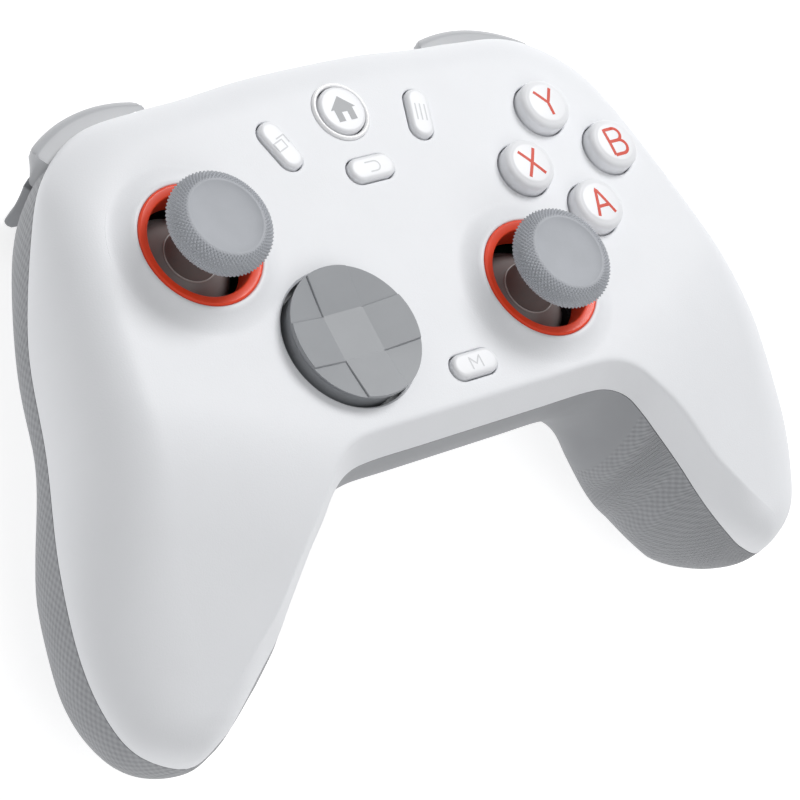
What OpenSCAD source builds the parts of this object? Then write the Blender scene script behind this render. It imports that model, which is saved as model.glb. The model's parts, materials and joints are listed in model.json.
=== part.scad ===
/* [Body] */
// Width across the grips
body_width = 155; // [148:1:162]
// Face centre to the top edge
top_edge = 40.8; // [39:0.1:44]
// Face centre to the lower edge between the grips
lip_edge = 28.4; // [27.6:0.1:30]
// Face centre to the grip tips
tip_reach = 59.8; // [58:0.1:64]
// Distance of each grip tip from the middle
tip_x = 64.8; // [63:0.1:66]
// Depth of the parting line at the grip tips
tip_depth = 29; // [27:0.5:30]
// Where the grips start to fall away, measured along them
grip_start = 38.6; // [38.6:0.1:40]
// Length of the bend where the grips fall away
grip_bend = 8; // [6:0.5:12]
// Fall of the grips over their run
grip_slope = 0.58; // [0.5:0.01:0.62]
// Depth of the flat back panel below the face
back_depth = 28.5; // [27.5:0.1:31]
// Depth of the grip undersides below the face
grip_depth = 45; // [42:0.5:49]
// Wall of both shells
wall = 2.2; // [1.8:0.1:2.6]
// Gap along the parting line
seam = 0.2; // [0.1:0.05:0.3]
// Width of the sloped band on the lower edge
lip_width = 3; // [2:0.1:4]
// Depth of the parting line under the lower edge
lip_depth = 5.4; // [4.5:0.1:6.5]
// Where the grips touch the ground, measured from the face centre
rest_back = 29; // [26:0.5:32]
// Height of the flat that the grips rest on
rest_flat = 1.8; // [1.2:0.1:2.4]

/* [Shoulders] */
// Centre of the shoulder arc, sideways
shoulder_x = 37.2; // [36.6:0.1:38]
// Centre of the shoulder arc, forward
shoulder_y = 14.4; // [14:0.1:15]
// Radius of the shoulder arc
shoulder_r = 25.2; // [24.8:0.1:25.8]
// Depth of the shell rim at the shoulders
rim_depth = 7.2; // [6.6:0.1:8]
// How far a bumper stands out of the shoulder
bumper_proud = 3.6; // [3:0.1:5]
// Height of a bumper
bumper_height = 6.8; // [5:0.1:7]
// Radius of a bumper pin
bumper_pin_r = 1.2; // [1:0.05:1.4]
// Where a bumper's arc ends, in degrees
bumper_end = 53; // [48:0.5:58]
// Where a bumper's arc starts, in degrees
bumper_start = 105; // [103:0.5:107]
// Corner radius of a bumper
bumper_corner = 2.2; // [1.4:0.1:2.8]
// Radius of the lug round a bumper pin
bumper_lug = 2.2; // [2:0.1:2.5]
// Distance of the trigger axis from the face centre
trigger_y = 28.5; // [28:0.1:29]
// Depth of the trigger axis below the face
trigger_z = 17.5; // [17:0.1:18]
// Radius of a trigger pin
trigger_pin_r = 1.25; // [1:0.05:1.4]
// Height of the trigger's finger wall
trigger_height = 11; // [9:0.1:12]
// Inner side of a trigger's cheeks
trigger_in = 36; // [35:0.1:38]
// Outer side of a trigger's cheeks
trigger_out = 48.5; // [46:0.1:52]
// How far the finger wall reaches past the outer cheek
trigger_tail = 4.2; // [3:0.1:6]
// Where the finger wall's arc starts, in degrees
trigger_start = 94; // [90:0.5:98]
// Edge radius of the finger wall
trigger_round = 1; // [0.6:0.1:1.2]
// Thickness of a trigger's cheeks
cheek = 2; // [1.6:0.1:2.6]
// Thickness of the ears that hold a trigger pin
ear = 1.8; // [1.4:0.1:2.2]
// Thickness of the arm under a bumper pin
arm_thick = 1.7; // [1.2:0.1:2]
// Width of the arm under a bumper pin
arm_w = 2.6; // [2:0.1:3]
// Wall of the inner frame, measured from the face centre
frame_back = 23.6; // [23.3:0.1:23.8]
// Thickness of the inner frame's wall
frame_wall = 1.2; // [1:0.1:1.4]

/* [Sticks] */
// Upper stick, sideways
high_x = 39.9; // [39:0.1:41]
// Upper stick, forward
high_y = 11.5; // [10.6:0.1:12]
// Lower stick and D-pad, sideways
low_x = 20.6; // [20:0.1:21.4]
// Lower stick, toward the player
low_y = 9; // [8.4:0.1:9.8]
// Outer radius of a stick ring
ring_r = 10.9; // [10.6:0.1:11.2]
// Radial width of a stick ring
ring_width = 1.75; // [1.3:0.05:1.9]
// Height of the collar round a stick above the face
collar_height = 1.9; // [1.4:0.1:2.4]
// Radius of the collar's foot
collar_r = 15.6; // [14.5:0.1:16]
// Width of the collar's rim round a ring
collar_rim = 0.8; // [0.5:0.1:1.2]
// Radius of a thumb cap
cap_r = 8.95; // [8:0.05:9.2]
// Height of the cap top above the face
cap_top = 11.2; // [10.8:0.1:14]
// Thickness of a thumb cap
cap_thick = 5.4; // [4.4:0.1:5.6]
// Radius of the smooth dish on a cap
dish_r = 6; // [5:0.1:6.2]
// Radius of the neck
neck_r = 4.6; // [3.6:0.1:4.7]
// Radius of the dome
dome_r = 10.5; // [10.3:0.1:10.8]
// Half angle that the dome covers, in degrees
dome_edge = 68; // [60:1:70]
// Depth of the stick pivot below the face
pivot_depth = 11.5; // [11.3:0.1:11.8]
// Radius of the gimbal pins
gimbal_pin_r = 1; // [0.8:0.05:1.1]
// Radius of the post inside a stick
post_r = 1.9; // [1.6:0.1:2]
// Length of the post inside the cap
spigot = 3; // [2:0.1:3.4]
// Size of the gimbal frame
yoke_w = 8.6; // [8.2:0.1:8.8]
// Opening of the gimbal frame
yoke_window = 5.6; // [5.2:0.1:5.8]
// Radius of the sliding carrier
carrier_r = 7.5; // [7.2:0.1:7.7]
// Size of a stick module's box
housing_w = 17; // [16.6:0.1:18]

/* [Buttons] */
// Face button group centre, sideways
abxy_x = 40.6; // [39.5:0.1:41]
// Face button group centre, forward
abxy_y = 10.9; // [10.2:0.1:11.4]
// Face button distance from the group centre
abxy_d = 10.05; // [9.8:0.05:10.3]
// Radius of a face button
face_r = 4.9; // [4.6:0.05:5.1]
// Height of a face button above the face
face_top = 2.8; // [1.8:0.1:3.2]
// Travel of a face button
face_travel = 1.2; // [0.8:0.1:1.3]
// Home button, forward
home_y = 28.9; // [28.4:0.1:29.6]
// Radius of the home button
home_r = 4.4; // [4:0.1:5]
// Radial width of the ring round the home button
home_ring_w = 0.8; // [0.6:0.1:1.1]
// Small slanted buttons, sideways
pill_x = 15.1; // [14.6:0.1:15.8]
// Small slanted buttons, forward
pill_y = 25.3; // [24.4:0.1:26]
// Slant of the two small upper buttons in degrees
pill_slant = 18; // [10:1:24]
// Share button, forward
share_y = 17.8; // [16.8:0.1:18.4]
// Mode button, toward the player
mode_y = 19.6; // [19:0.1:20]
// Length of a small button
pill_length = 9.4; // [8.8:0.1:9.8]
// Width of a small button
pill_width = 4.4; // [4:0.1:4.8]
// Height of the small buttons above the face
pill_top = 1; // [0.6:0.1:1.4]
// Travel of the small buttons
pill_travel = 0.6; // [0.4:0.1:0.7]
// D-pad centre, toward the player
dpad_y = 9.5; // [9:0.1:10]
// Radius of the D-pad at its rim
dpad_r = 11.9; // [11.5:0.1:12.2]
// Height of the D-pad's arms above the face
dpad_top = 3.2; // [2.8:0.1:3.6]
// Width of the D-pad's arms
dpad_arm = 8.2; // [7.6:0.1:8.8]
// Depth of the D-pad's pivot below the face
dpad_pivot = 5; // [4.8:0.1:5.2]
// Distance of the D-pad's stems from its centre
dpad_stem = 8.5; // [8.2:0.1:9]
// Radius of the pins of the D-pad's pivot
spider_r = 0.9; // [0.7:0.05:1]
// Gap round a button in its hole
button_gap = 0.25; // [0.2:0.05:0.35]

/* [Inside] */
// Depth of the circuit board's top below the face
board_depth = 16.5; // [16.4:0.1:16.8]
// Thickness of the circuit board
board_thick = 1.6; // [1.2:0.1:1.8]
// Height of the contact mats
mat_thick = 1.2; // [1:0.1:1.4]
// Length of the battery
battery_l = 42; // [36:1:42]
// Width of the battery
battery_w = 28; // [24:1:28]
// Thickness of the battery
battery_t = 6; // [5:0.1:6.2]
// Battery centre, forward
battery_y = 8; // [6:0.5:8.5]
// Width of the charging inlet
usb_w = 8.9; // [8:0.1:9.4]
// Height of the charging inlet
usb_h = 3.2; // [2.8:0.1:3.4]
// Length of the charging inlet
usb_l = 7.3; // [6.5:0.1:7.4]
// Radius of a rumble motor
motor_r = 6; // [5:0.1:6.4]
// Length of a rumble motor
motor_l = 14; // [12:0.5:16]
// Distance of a rumble motor from the side of the body
motor_in = 19.5; // [18:0.1:21]
// Inner end of a rumble motor, toward the player
motor_end = 22; // [20:0.5:23]
// Depth of a rumble motor below the face
motor_depth = 24; // [23:0.1:25]
// Radius of a rumble weight
weight_r = 8.5; // [7.5:0.1:9]
// Length of a rumble weight
weight_l = 6; // [4:0.5:7]
// Radius of a motor shaft
shaft_r = 1; // [0.8:0.05:1.2]
// Radius of the screw bosses
boss_r = 3; // [2.6:0.1:3.2]
// Depth at which the screw bosses of the two shells meet
boss_split = 12; // [11:0.1:13]
// Radius of the screw shanks
screw_r = 1.2; // [1:0.05:1.3]
// Radius of the screw heads
head_r = 2.1; // [1.8:0.1:2.3]
// Depth of the screw heads' seats in the back
head_seat = 4.2; // [3:0.1:5]
// Radius of the board's standoffs
standoff_r = 2.4; // [2:0.1:2.8]
// Radius of the board's screws
pilot_r = 0.9; // [0.7:0.05:1]
// Running clearance of pins and shafts
run_fit = 0.05; // [0.03:0.01:0.08]
// Clearance of pieces that are pressed in
seat_fit = 0.02; // [0.01:0.01:0.04]
// Free space kept between pieces that move past each other
free_gap = 0.3; // [0.25:0.05:0.4]

/* [Hidden] */
$fn = 48;
half_w = body_width / 2;
bumper_r = shoulder_r + bumper_proud;
white = [0.93, 0.93, 0.94];
grey = [0.60, 0.61, 0.63];
light_grey = [0.74, 0.75, 0.77];
dark_grey = [0.34, 0.33, 0.32];
orange = [0.93, 0.30, 0.16];
steel = [0.72, 0.73, 0.75];
board_green = [0.10, 0.32, 0.20];
rubber = [0.22, 0.23, 0.25];

// Sizes that follow from the ones above
shell_screw_places = [[25, 21], [-25, 21], [38, -12], [-38, -12]];
board_screw_places = [[10, 4], [-10, 4], [48, -8], [-48, -8]];
home_hole_r = home_r + button_gap + home_ring_w;
dpad_neck = dpad_r - 0.6;
dpad_hole_r = dpad_neck + 0.8;
dpad_mid = dpad_top - 1.5;
mat_top = board_depth - mat_thick;
bumper_top = rim_depth + 0.6;
bumper_in = shoulder_r - 2;
bumper_pin = [shoulder_x, shoulder_y] + polar(shoulder_r - 0.2, bumper_start - 4);
arm_low = bumper_top + bumper_height + 0.4 + arm_thick;
arm_x = bumper_pin[0] - 1.6;
trigger_end = acos((trigger_out + trigger_tail - shoulder_x) / shoulder_r);
trigger_low = bumper_top + bumper_height + 0.5 + trigger_height;
window_split = bumper_top + bumper_height + 0.4;
ear_in = trigger_in - 0.6 - ear;
ear_out = trigger_out + 0.6 + ear;
// The pad rests on its grips and trigger tips, so the ground slopes under the face
rest_y = -rest_back;
rest_run = shoulder_y + shoulder_r - trigger_round - rest_y;
rest_rise = grip_depth - rest_flat - trigger_low + trigger_round;
rest_guess = (rest_rise - trigger_round - 0.05) / rest_run;
rest_slope = (rest_rise - (trigger_round + 0.05) * sqrt(1 + rest_guess * rest_guess)) / rest_run;
rest_lean = atan(rest_slope);
rest_low = rest_flat - grip_depth - rest_slope * rest_y;
rest_lift = -rest_low * cos(rest_lean);
motor_x = half_w - motor_in;
motor_y = -motor_end;
motor_z = -motor_depth;
cradle_w = 1.4 * motor_r;
cradle_l = 0.5 * motor_l;
cradle_y = motor_y - motor_l / 2;
cradle_low = back_z([motor_x - cradle_w / 2, cradle_y + cradle_l / 2]) + 0.7 * wall;
board_back = frame_back - 1.2;
board_edge = [[29, 34], [29, board_back], [50, board_back], [52, 20], [52, -12], [42, -16], [36, -21]];
usb_z = -board_depth + usb_h / 2;
usb_face = top_edge - 1.2;

// Places a shape drawn about the face centre into the part's frame
module at_face() translate([0, frame_y, rest_lift]) rotate([-rest_lean, 0, 0]) children();

// Draws a shape and its mirror image
module both_sides() {
    children();
    mirror([1, 0, 0]) children();
}

// Shell surface

function mix(a, b, f) = a + (b - a) * f;
function spline(p, q, r, s, f) =
    0.5 * (2 * q + (r - p) * f + (2 * p - 5 * q + 4 * r - s) * f * f
        + (3 * q - p - 3 * r + s) * f * f * f);
function flip(p) = [-p[0], p[1], p[2]];
function shoulder(a, z) =
    [shoulder_x + shoulder_r * cos(a), shoulder_y + shoulder_r * sin(a), z];

// Parting line from the middle of the top edge round the shoulder to the grip tip
upper_rail = [
    [0, top_edge, -6], [13, top_edge - 0.15, -6.3], [25, top_edge - 0.9, -7.3],
    shoulder(97, -rim_depth), shoulder(70, -rim_depth), shoulder(46, -rim_depth),
    shoulder(24, -rim_depth - 1.6), [half_w - 11.2, 8.4, -14.9], [half_w - 6.7, -9, -17.1],
    [half_w - 2, -25, -19.8], [half_w, -39, -22.8], [half_w - 1.3, 11 - tip_reach, -25.6],
    [half_w - 4.9, 4.1 - tip_reach, -27.4], [tip_x, -tip_reach, -tip_depth]
];
// Parting line from the middle of the lower edge along the inside of the grip to its tip
lower_rail = [
    [0, -lip_edge, -lip_depth], [12.5, -lip_edge, -lip_depth], [24, -lip_edge, -lip_depth],
    [29, -lip_edge - 0.7, -lip_depth - 0.2], [32.6, -lip_edge - 2.8, -lip_depth - 0.8],
    [35.6, -34.5, -8], [38.2, -37.3, -10.1], [40.7, -40.2, -12.1], [43.7, -43.8, -14.6],
    [46.8, -47.7, -17.4], [50.5, -51.3, -20.6], [54.8, 4.6 - tip_reach, -23.9],
    [59.2, 1.5 - tip_reach, -26.9], [tip_x, -tip_reach, -tip_depth]
];
last = len(upper_rail) - 1;
function on_rail(rail, other, t) =
    let (i = min(floor(t), last - 1))
    spline(i == 0 ? flip(rail[1]) : rail[i - 1], rail[i], rail[i + 1],
        i == last - 1 ? other[last - 1] : rail[i + 2], t - i);

stations = concat([for (k = [0:22]) k / 2], [for (k = [1:7]) last - 2 + k / 4]);
side_steps = 7;
flat_steps = 7;
lip_steps = 5;
row = side_steps + flat_steps + lip_steps + 1;

function ease(x, p) = pow(1 - pow(1 - min(1, max(0, x)), p), 1 / p);
function smooth(x) = let (c = min(1, max(0, x))) c * c * (3 - 2 * c);
// How far a point lies along the grips
function grip_run(p) = 0.4 * p[0] - 0.917 * p[1];
// Top of the front shell: flat in the middle, then bending down along the grips
function top_z(p) =
    let (s = max(0, grip_run(p) - grip_start))
    -grip_slope * (s < grip_bend ? s * s / (2 * grip_bend) : s - grip_bend / 2);
// Underside of the back shell: flat panel, deep under the grips
function back_z(p) = -back_depth - (grip_depth - back_depth) * smooth((grip_run(p) - 30) / 25);

// Ground under the pad at rest, seen from the face
function ground(p) = rest_low + rest_slope * p[1];

// One section of a shell surface, from the upper rail to the lower rail:
// a rounded flank, a level stretch and the lower flank; inset is 0 outside and the wall inside
function section(t, front, inset) =
    let (a = on_rail(upper_rail, lower_rail, t), b = on_rail(lower_rail, upper_rail, t),
        run = [b[0] - a[0], b[1] - a[1]], whole = norm(run),
        cut = min(inset, 0.3 * whole), len = whole - 2 * cut,
        side = front ? 9 + 6 * smooth((t - 2.5) / 5) : 17,
        low = front ? mix(lip_width, 7, smooth((t - 8) / 5)) : mix(14, 17, smooth(t / 8)),
        ru = min(side - 0.5 * cut, 0.58 * len), rl = min(low - 0.1 * cut, 0.38 * len),
        mid = [(a[0] + b[0]) / 2, (a[1] + b[1]) / 2],
        near_tip = max(0, norm(mid - [tip_x, -tip_reach]) - cut),
        fade = min(1, len / 30, near_tip / 3),
        full_u = front ? 0 : 1.1 * fade,
        full_l = front ? 0 : mix(1.2, 5, smooth((t - 1.5) / 3.5)) * fade,
        round_lip = front ? smooth((t - 9) / 3) : 1,
        tip = ease(near_tip / (front ? 6 : 19), 2.1),
        steps = concat(
            [for (k = [0:side_steps]) let (q = 90 * k / side_steps)
                [ru * (1 - cos(q)) - full_u * sin(2 * q), sin(q)]],
            [for (k = [1:flat_steps]) [mix(ru, len - rl, k / flat_steps), 1]],
            [for (k = [1:lip_steps]) let (q = 90 * k / lip_steps, c = cos(q))
                [len - rl * mix(1 - k / lip_steps, 1 - sin(q), round_lip) + full_l * sin(2 * q),
                    mix(1 - k / lip_steps, c, round_lip)]]))
    [for (w = steps)
        let (f = (cut + w[0]) / whole, p = [a[0] + run[0] * f, a[1] + run[1] * f],
            part = mix(a[2], b[2], min(1, max(0, f))) + (front ? seam / 2 : -seam / 2),
            rise = front ? max(0.3, top_z(p) - inset - part) : min(-0.3, back_z(p) + inset - part))
        [p[0], p[1], max(part + rise * w[1] * tip, front || inset > 0 ? -grip_depth : ground(p))]];

function tip_point(front, inset) =
    let (s = len(stations) - 1, t = stations[s],
        a = on_rail(upper_rail, lower_rail, t), b = on_rail(lower_rail, upper_rail, t),
        back = inset > 0 ? 0.9 : 0)
    [mix(tip_x, (a[0] + b[0]) / 2, back), mix(-tip_reach, (a[1] + b[1]) / 2, back),
        mix(-tip_depth, (a[2] + b[2]) / 2, back) + (front ? seam / 2 : -seam / 2)];

// All points of one surface from the left tip to the right tip
function skin(front, inset) =
    let (half = [for (t = stations) section(t, front, inset)], n = len(half) - 1,
        tip = tip_point(front, inset))
    concat([flip(tip)],
        [for (i = [n:-1:1]) for (p = half[i]) flip(p)],
        [for (i = [0:n]) for (p = half[i]) p],
        [tip]);

// Depth of a face point along the ground at rest
function along(y, z) = y * cos(rest_lean) + z * sin(rest_lean);
frame_y = -(along(shoulder_y + bumper_r, -bumper_top - 1.2)
    + min([for (p = skin(false, 0)) along(p[1], p[2])])) / 2;

function turn(faces, over) = over ? [for (f = faces) [f[2], f[1], f[0]]] : faces;
function at(s, j) = 1 + s * row + j;

// A shell as one closed skin: outside, inside and the rim between them
module shell(front) {
    strips = 2 * (len(stations) - 1) + 1;
    count = 2 + strips * row;
    end = count - 1;
    sheet = concat(
        [for (s = [0:strips - 2]) for (j = [0:row - 2])
            for (f = [[at(s, j), at(s + 1, j), at(s + 1, j + 1)],
                    [at(s, j), at(s + 1, j + 1), at(s, j + 1)]]) f],
        [for (j = [0:row - 2]) [0, at(0, j), at(0, j + 1)]],
        [for (j = [0:row - 2]) [end, at(strips - 1, j + 1), at(strips - 1, j)]]);
    inner = [for (f = sheet) [f[2] + count, f[1] + count, f[0] + count]];
    rim = [for (j = [0, row - 1])
        let (ring = concat([0], [for (s = [0:strips - 1]) at(s, j)], [end]))
        for (k = [0:len(ring) - 2])
            for (f = [[ring[k], ring[k] + count, ring[k + 1] + count],
                    [ring[k], ring[k + 1] + count, ring[k + 1]]])
                j == 0 ? f : [f[2], f[1], f[0]]];
    polyhedron(points = concat(skin(front, 0), skin(front, wall)),
        faces = turn(concat(sheet, inner, rim), !front), convexity = 8);
}

// Outline helpers

// Slot outline with round ends, lying along X
module slot(length, width) {
    square([length - width, width], center = true);
    for (x = [-1, 1])
        translate([x * (length - width) / 2, 0]) circle(d = width);
}

// Ring-shaped block about the Z axis between two radii
module tube(outer, inner, low, high) {
    translate([0, 0, low]) difference() {
        cylinder(r = outer, h = high - low);
        translate([0, 0, -1]) cylinder(r = inner, h = high - low + 2);
    }
}

// Round rod along X, centred
module rod_x(r, length) rotate([0, 90, 0]) cylinder(r = r, h = length, center = true);

// Round rod along Y, centred
module rod_y(r, length) rotate([90, 0, 0]) cylinder(r = r, h = length, center = true);

// Sector of a profile turned about the right shoulder's upright axis
module shoulder_sector(from, to) {
    translate([shoulder_x, shoulder_y, 0]) rotate([0, 0, from])
        rotate_extrude(angle = to - from, $fn = 96) children();
}

// Places

module at_left_stick() translate([-high_x, high_y, 0]) children();
module at_right_stick() translate([low_x, -low_y, 0]) children();
module at_sticks() {
    at_left_stick() children();
    at_right_stick() children();
}
module at_dpad() translate([-low_x, -dpad_y, 0]) children();
module at_face_button(a) translate([abxy_x + abxy_d * cos(a), abxy_y + abxy_d * sin(a), 0]) children();
module at_view() translate([-pill_x, pill_y, 0]) rotate([0, 0, 90 + pill_slant]) children();
module at_menu() translate([pill_x, pill_y, 0]) rotate([0, 0, 90 - pill_slant]) children();
module at_share() translate([0, share_y, 0]) children();
module at_mode() translate([0, -mode_y, 0]) children();
module at_pills() {
    at_view() children();
    at_menu() children();
    at_share() children();
    at_mode() children();
}
module at_home() translate([0, home_y, 0]) children();
module at_shell_screws() {
    for (p = shell_screw_places) translate([p[0], p[1], 0]) children();
}
module at_board_screws() {
    for (p = board_screw_places) translate([p[0], p[1], 0]) children();
}

// Shells

// Collar that rises softly from the face to the rim of a stick well
module collar() {
    steps = 8;
    top = ring_r + collar_rim;
    rotate_extrude($fn = 96) polygon(concat(
        [[ring_r - 0.5, -wall / 2], [ring_r - 0.5, collar_height]],
        [for (k = [0:steps]) let (f = k / steps)
            [top + (collar_r - top) * f, collar_height * pow(1 - f, 2)]],
        [[collar_r, -wall / 2]]));
}

module front_shell() {
    color(white) at_face() difference() {
        union() {
            shell(true);
            at_sticks() collar();
            at_shell_screws() translate([0, 0, -boss_split])
                cylinder(r = boss_r, h = boss_split - wall / 2);
            at_board_screws() translate([0, 0, -board_depth])
                cylinder(r = standoff_r, h = board_depth - wall / 2);
        }
        at_sticks() translate([0, 0, -wall - 2]) cylinder(r = ring_r, h = wall + 8, $fn = 96);
        for (a = [0:90:270]) at_face_button(a) translate([0, 0, -wall - 2])
            cylinder(r = face_r + button_gap, h = wall + 6);
        at_home() translate([0, 0, -wall - 2]) cylinder(r = home_hole_r, h = wall + 6);
        at_dpad() translate([0, 0, -wall - 2]) cylinder(r = dpad_hole_r, h = wall + 6, $fn = 96);
        at_pills() translate([0, 0, -wall - 2])
            linear_extrude(wall + 6) slot(pill_length + 2 * button_gap, pill_width + 2 * button_gap);
        at_shell_screws() translate([0, 0, -boss_split - 1])
            cylinder(r = screw_r + seat_fit, h = boss_split - 3);
        at_board_screws() translate([0, 0, -board_depth - 1]) cylinder(r = pilot_r + seat_fit, h = 9);
    }
}

module back_shell() {
    color(grey) at_face() difference() {
        union() {
            shell(false);
            at_shell_screws() translate([0, 0, -back_depth + wall / 2])
                cylinder(r = boss_r, h = back_depth - wall / 2 - boss_split);
            both_sides() translate([motor_x - cradle_w / 2, cradle_y - cradle_l / 2, cradle_low])
                cube([cradle_w, cradle_l, motor_z - 2 - cradle_low]);
        }
        both_sides() translate([motor_x, cradle_y, motor_z]) rod_y(motor_r + seat_fit, motor_l + 2);
        at_shell_screws() translate([0, 0, -back_depth - 1]) {
            cylinder(r = screw_r + 0.1, h = back_depth);
            cylinder(r = head_r + 0.2, h = head_seat + 1);
        }
        both_sides() {
            shoulder_sector(bumper_end - 3, bumper_start + 4)
                translate([bumper_in - 2.5, -window_split - 0.5]) square([20, window_split - 3.5]);
            shoulder_sector(trigger_end - 9, bumper_start + 4)
                translate([shoulder_r - 8.5, -40]) square([20, 40 - window_split]);
        }
        translate([0, top_edge - 6, usb_z]) rotate([-90, 0, 0])
            linear_extrude(10) slot(usb_w + 0.6, usb_h + 0.6);
    }
}

// Stick wells

module stick_ring() {
    rotate_extrude($fn = 96) polygon([
        [ring_r - ring_width, -wall - 1], [ring_r - ring_width, collar_height - 0.35],
        [ring_r - ring_width + 0.35, collar_height], [ring_r - 0.4, collar_height + 0.2],
        [ring_r - seat_fit, collar_height], [ring_r - seat_fit, -wall - seat_fit],
        [ring_r + 1.3, -wall - seat_fit], [ring_r + 1.3, -wall - 1]]);
}
module left_stick_ring() color(orange) at_face() at_left_stick() stick_ring();
module right_stick_ring() color(orange) at_face() at_right_stick() stick_ring();

// Stick parts, drawn about the pivot
module at_pivot() translate([0, 0, -pivot_depth]) children();

module stick_cap() {
    top = pivot_depth + cap_top;
    edge = cap_thick * 0.45;
    color(grey) difference() {
        rotate_extrude($fn = 96) polygon(concat(
            [[0, top - cap_thick], [neck_r + 0.4, top - cap_thick]],
            [for (k = [0:10]) let (q = -60 + 15 * k)
                [cap_r - edge + edge * cos(q), top - edge - 0.3 + edge * sin(q)]],
            [[dish_r, top - 0.25], [dish_r * 0.66, top - 0.65], [dish_r * 0.33, top - 0.9],
                [0, top - 1]]));
        translate([0, 0, top - cap_thick - 1]) cylinder(r = post_r + seat_fit, h = spigot + 1);
    }
}

module stick_stalk() {
    low = pivot_depth + cap_top - cap_thick;
    seat = sqrt(dome_r * dome_r - neck_r * neck_r) - 0.4;
    color(dark_grey) union() {
        rotate_extrude($fn = 96) intersection() {
            difference() {
                circle(r = dome_r);
                circle(r = dome_r - 1.2);
            }
            polygon([[0, 0], [30 * sin(dome_edge), 30 * cos(dome_edge)], [0, 30]]);
        }
        translate([0, 0, seat]) cylinder(r1 = neck_r, r2 = neck_r - 0.8, h = low - seat);
        translate([0, 0, -1.8]) cylinder(r = post_r, h = low + spigot + 1.8);
        rod_y(gimbal_pin_r, yoke_w);
    }
}

module stick_yoke() {
    color(steel) difference() {
        union() {
            cube([yoke_w - 0.4, yoke_w, 3], center = true);
            rod_x(gimbal_pin_r, 2 * carrier_r - 0.4);
        }
        cube([yoke_window, yoke_window, 8], center = true);
        rod_y(gimbal_pin_r + run_fit, 20);
    }
}

module stick_carrier() {
    color(dark_grey) difference() {
        translate([0, 0, -2.2]) cylinder(r = carrier_r, h = 4);
        cube([yoke_w + 0.4, yoke_w + 1.2, 8], center = true);
        rod_x(gimbal_pin_r + run_fit, 20);
    }
}

module stick_housing() {
    low = pivot_depth - board_depth;
    color(steel) difference() {
        translate([-housing_w / 2, -housing_w / 2, low]) cube([housing_w, housing_w, -0.4 - low]);
        translate([0, 0, low + 0.8]) cylinder(r = carrier_r + run_fit, h = 10);
    }
}

module left_stick_cap() at_face() at_left_stick() at_pivot() stick_cap();
module right_stick_cap() at_face() at_right_stick() at_pivot() stick_cap();
module left_stick_stalk() at_face() at_left_stick() at_pivot() stick_stalk();
module right_stick_stalk() at_face() at_right_stick() at_pivot() stick_stalk();
module left_stick_yoke() at_face() at_left_stick() at_pivot() stick_yoke();
module right_stick_yoke() at_face() at_right_stick() at_pivot() stick_yoke();
module left_stick_carrier() at_face() at_left_stick() at_pivot() stick_carrier();
module right_stick_carrier() at_face() at_right_stick() at_pivot() stick_carrier();
module left_stick_housing() at_face() at_left_stick() at_pivot() stick_housing();
module right_stick_housing() at_face() at_right_stick() at_pivot() stick_housing();

// D-pad

// One bar of the cross, dished toward the middle
module dpad_bar() {
    rotate([90, 0, 0]) linear_extrude(dpad_arm, center = true) polygon([
        [-dpad_r, -wall], [dpad_r, -wall], [dpad_r, dpad_top], [dpad_arm / 2, dpad_mid],
        [-dpad_arm / 2, dpad_mid], [-dpad_r, dpad_top]]);
}

module dpad() {
    rim = dpad_top - 0.8;
    color(grey) at_face() at_dpad() difference() {
        union() {
            intersection() {
                union() {
                    dpad_bar();
                    rotate([0, 0, 90]) dpad_bar();
                    rotate_extrude($fn = 96) polygon([
                        [0, -wall], [dpad_r, -wall], [dpad_r, dpad_top - 0.6],
                        [dpad_arm / 2, dpad_mid - 0.5], [0, dpad_mid - 0.5]]);
                }
                rotate_extrude($fn = 96) polygon([
                    [0, -wall - 1], [dpad_neck, -wall - 1], [dpad_neck, rim - 1.1], [dpad_r, rim],
                    [dpad_r - 0.3, dpad_top + 0.1], [0, dpad_top + 0.1]]);
            }
            translate([0, 0, -dpad_pivot]) {
                cylinder(r = dpad_neck, h = dpad_pivot - wall + 0.1, $fn = 96);
                cylinder(r = dpad_hole_r + 0.6, h = 1, $fn = 96);
            }
            for (a = [0:90:270]) rotate([0, 0, a]) translate([dpad_stem, 0, -mat_top + 1.1])
                cylinder(r = 1.5, h = mat_top - 1.1 - dpad_pivot + 0.5);
            for (y = [-1, 1]) translate([-1.8, y * 3.4 - 0.8, -dpad_pivot - 1.8]) cube([3.6, 1.6, 6]);
        }
        difference() {
            translate([0, 0, -dpad_pivot - 1]) cylinder(r = 6.5, h = dpad_pivot + 1 - 1.4);
            for (y = [-1, 1]) translate([-1.8, y * 3.4 - 0.8, -dpad_pivot - 1.8]) cube([3.6, 1.6, 6]);
        }
        translate([0, 0, -dpad_pivot]) rod_y(spider_r + run_fit, 20);
    }
}

module dpad_spider() {
    color(steel) at_face() at_dpad() translate([0, 0, -dpad_pivot]) union() {
        rod_x(spider_r, 8.4);
        rod_y(spider_r, 8.4);
        cylinder(r = 1.7, h = 2.6, center = true);
    }
}

module dpad_post() {
    color(rubber) at_face() at_dpad() difference() {
        union() {
            translate([0, 0, -board_depth]) cylinder(r = 5, h = board_depth - dpad_pivot - 4);
            for (x = [-1, 1]) translate([x * 3.4 - 0.8, -1.8, -dpad_pivot - 5]) cube([1.6, 3.6, 6.8]);
        }
        translate([0, 0, -dpad_pivot]) rod_x(spider_r + run_fit, 20);
    }
}

// Buttons

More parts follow.
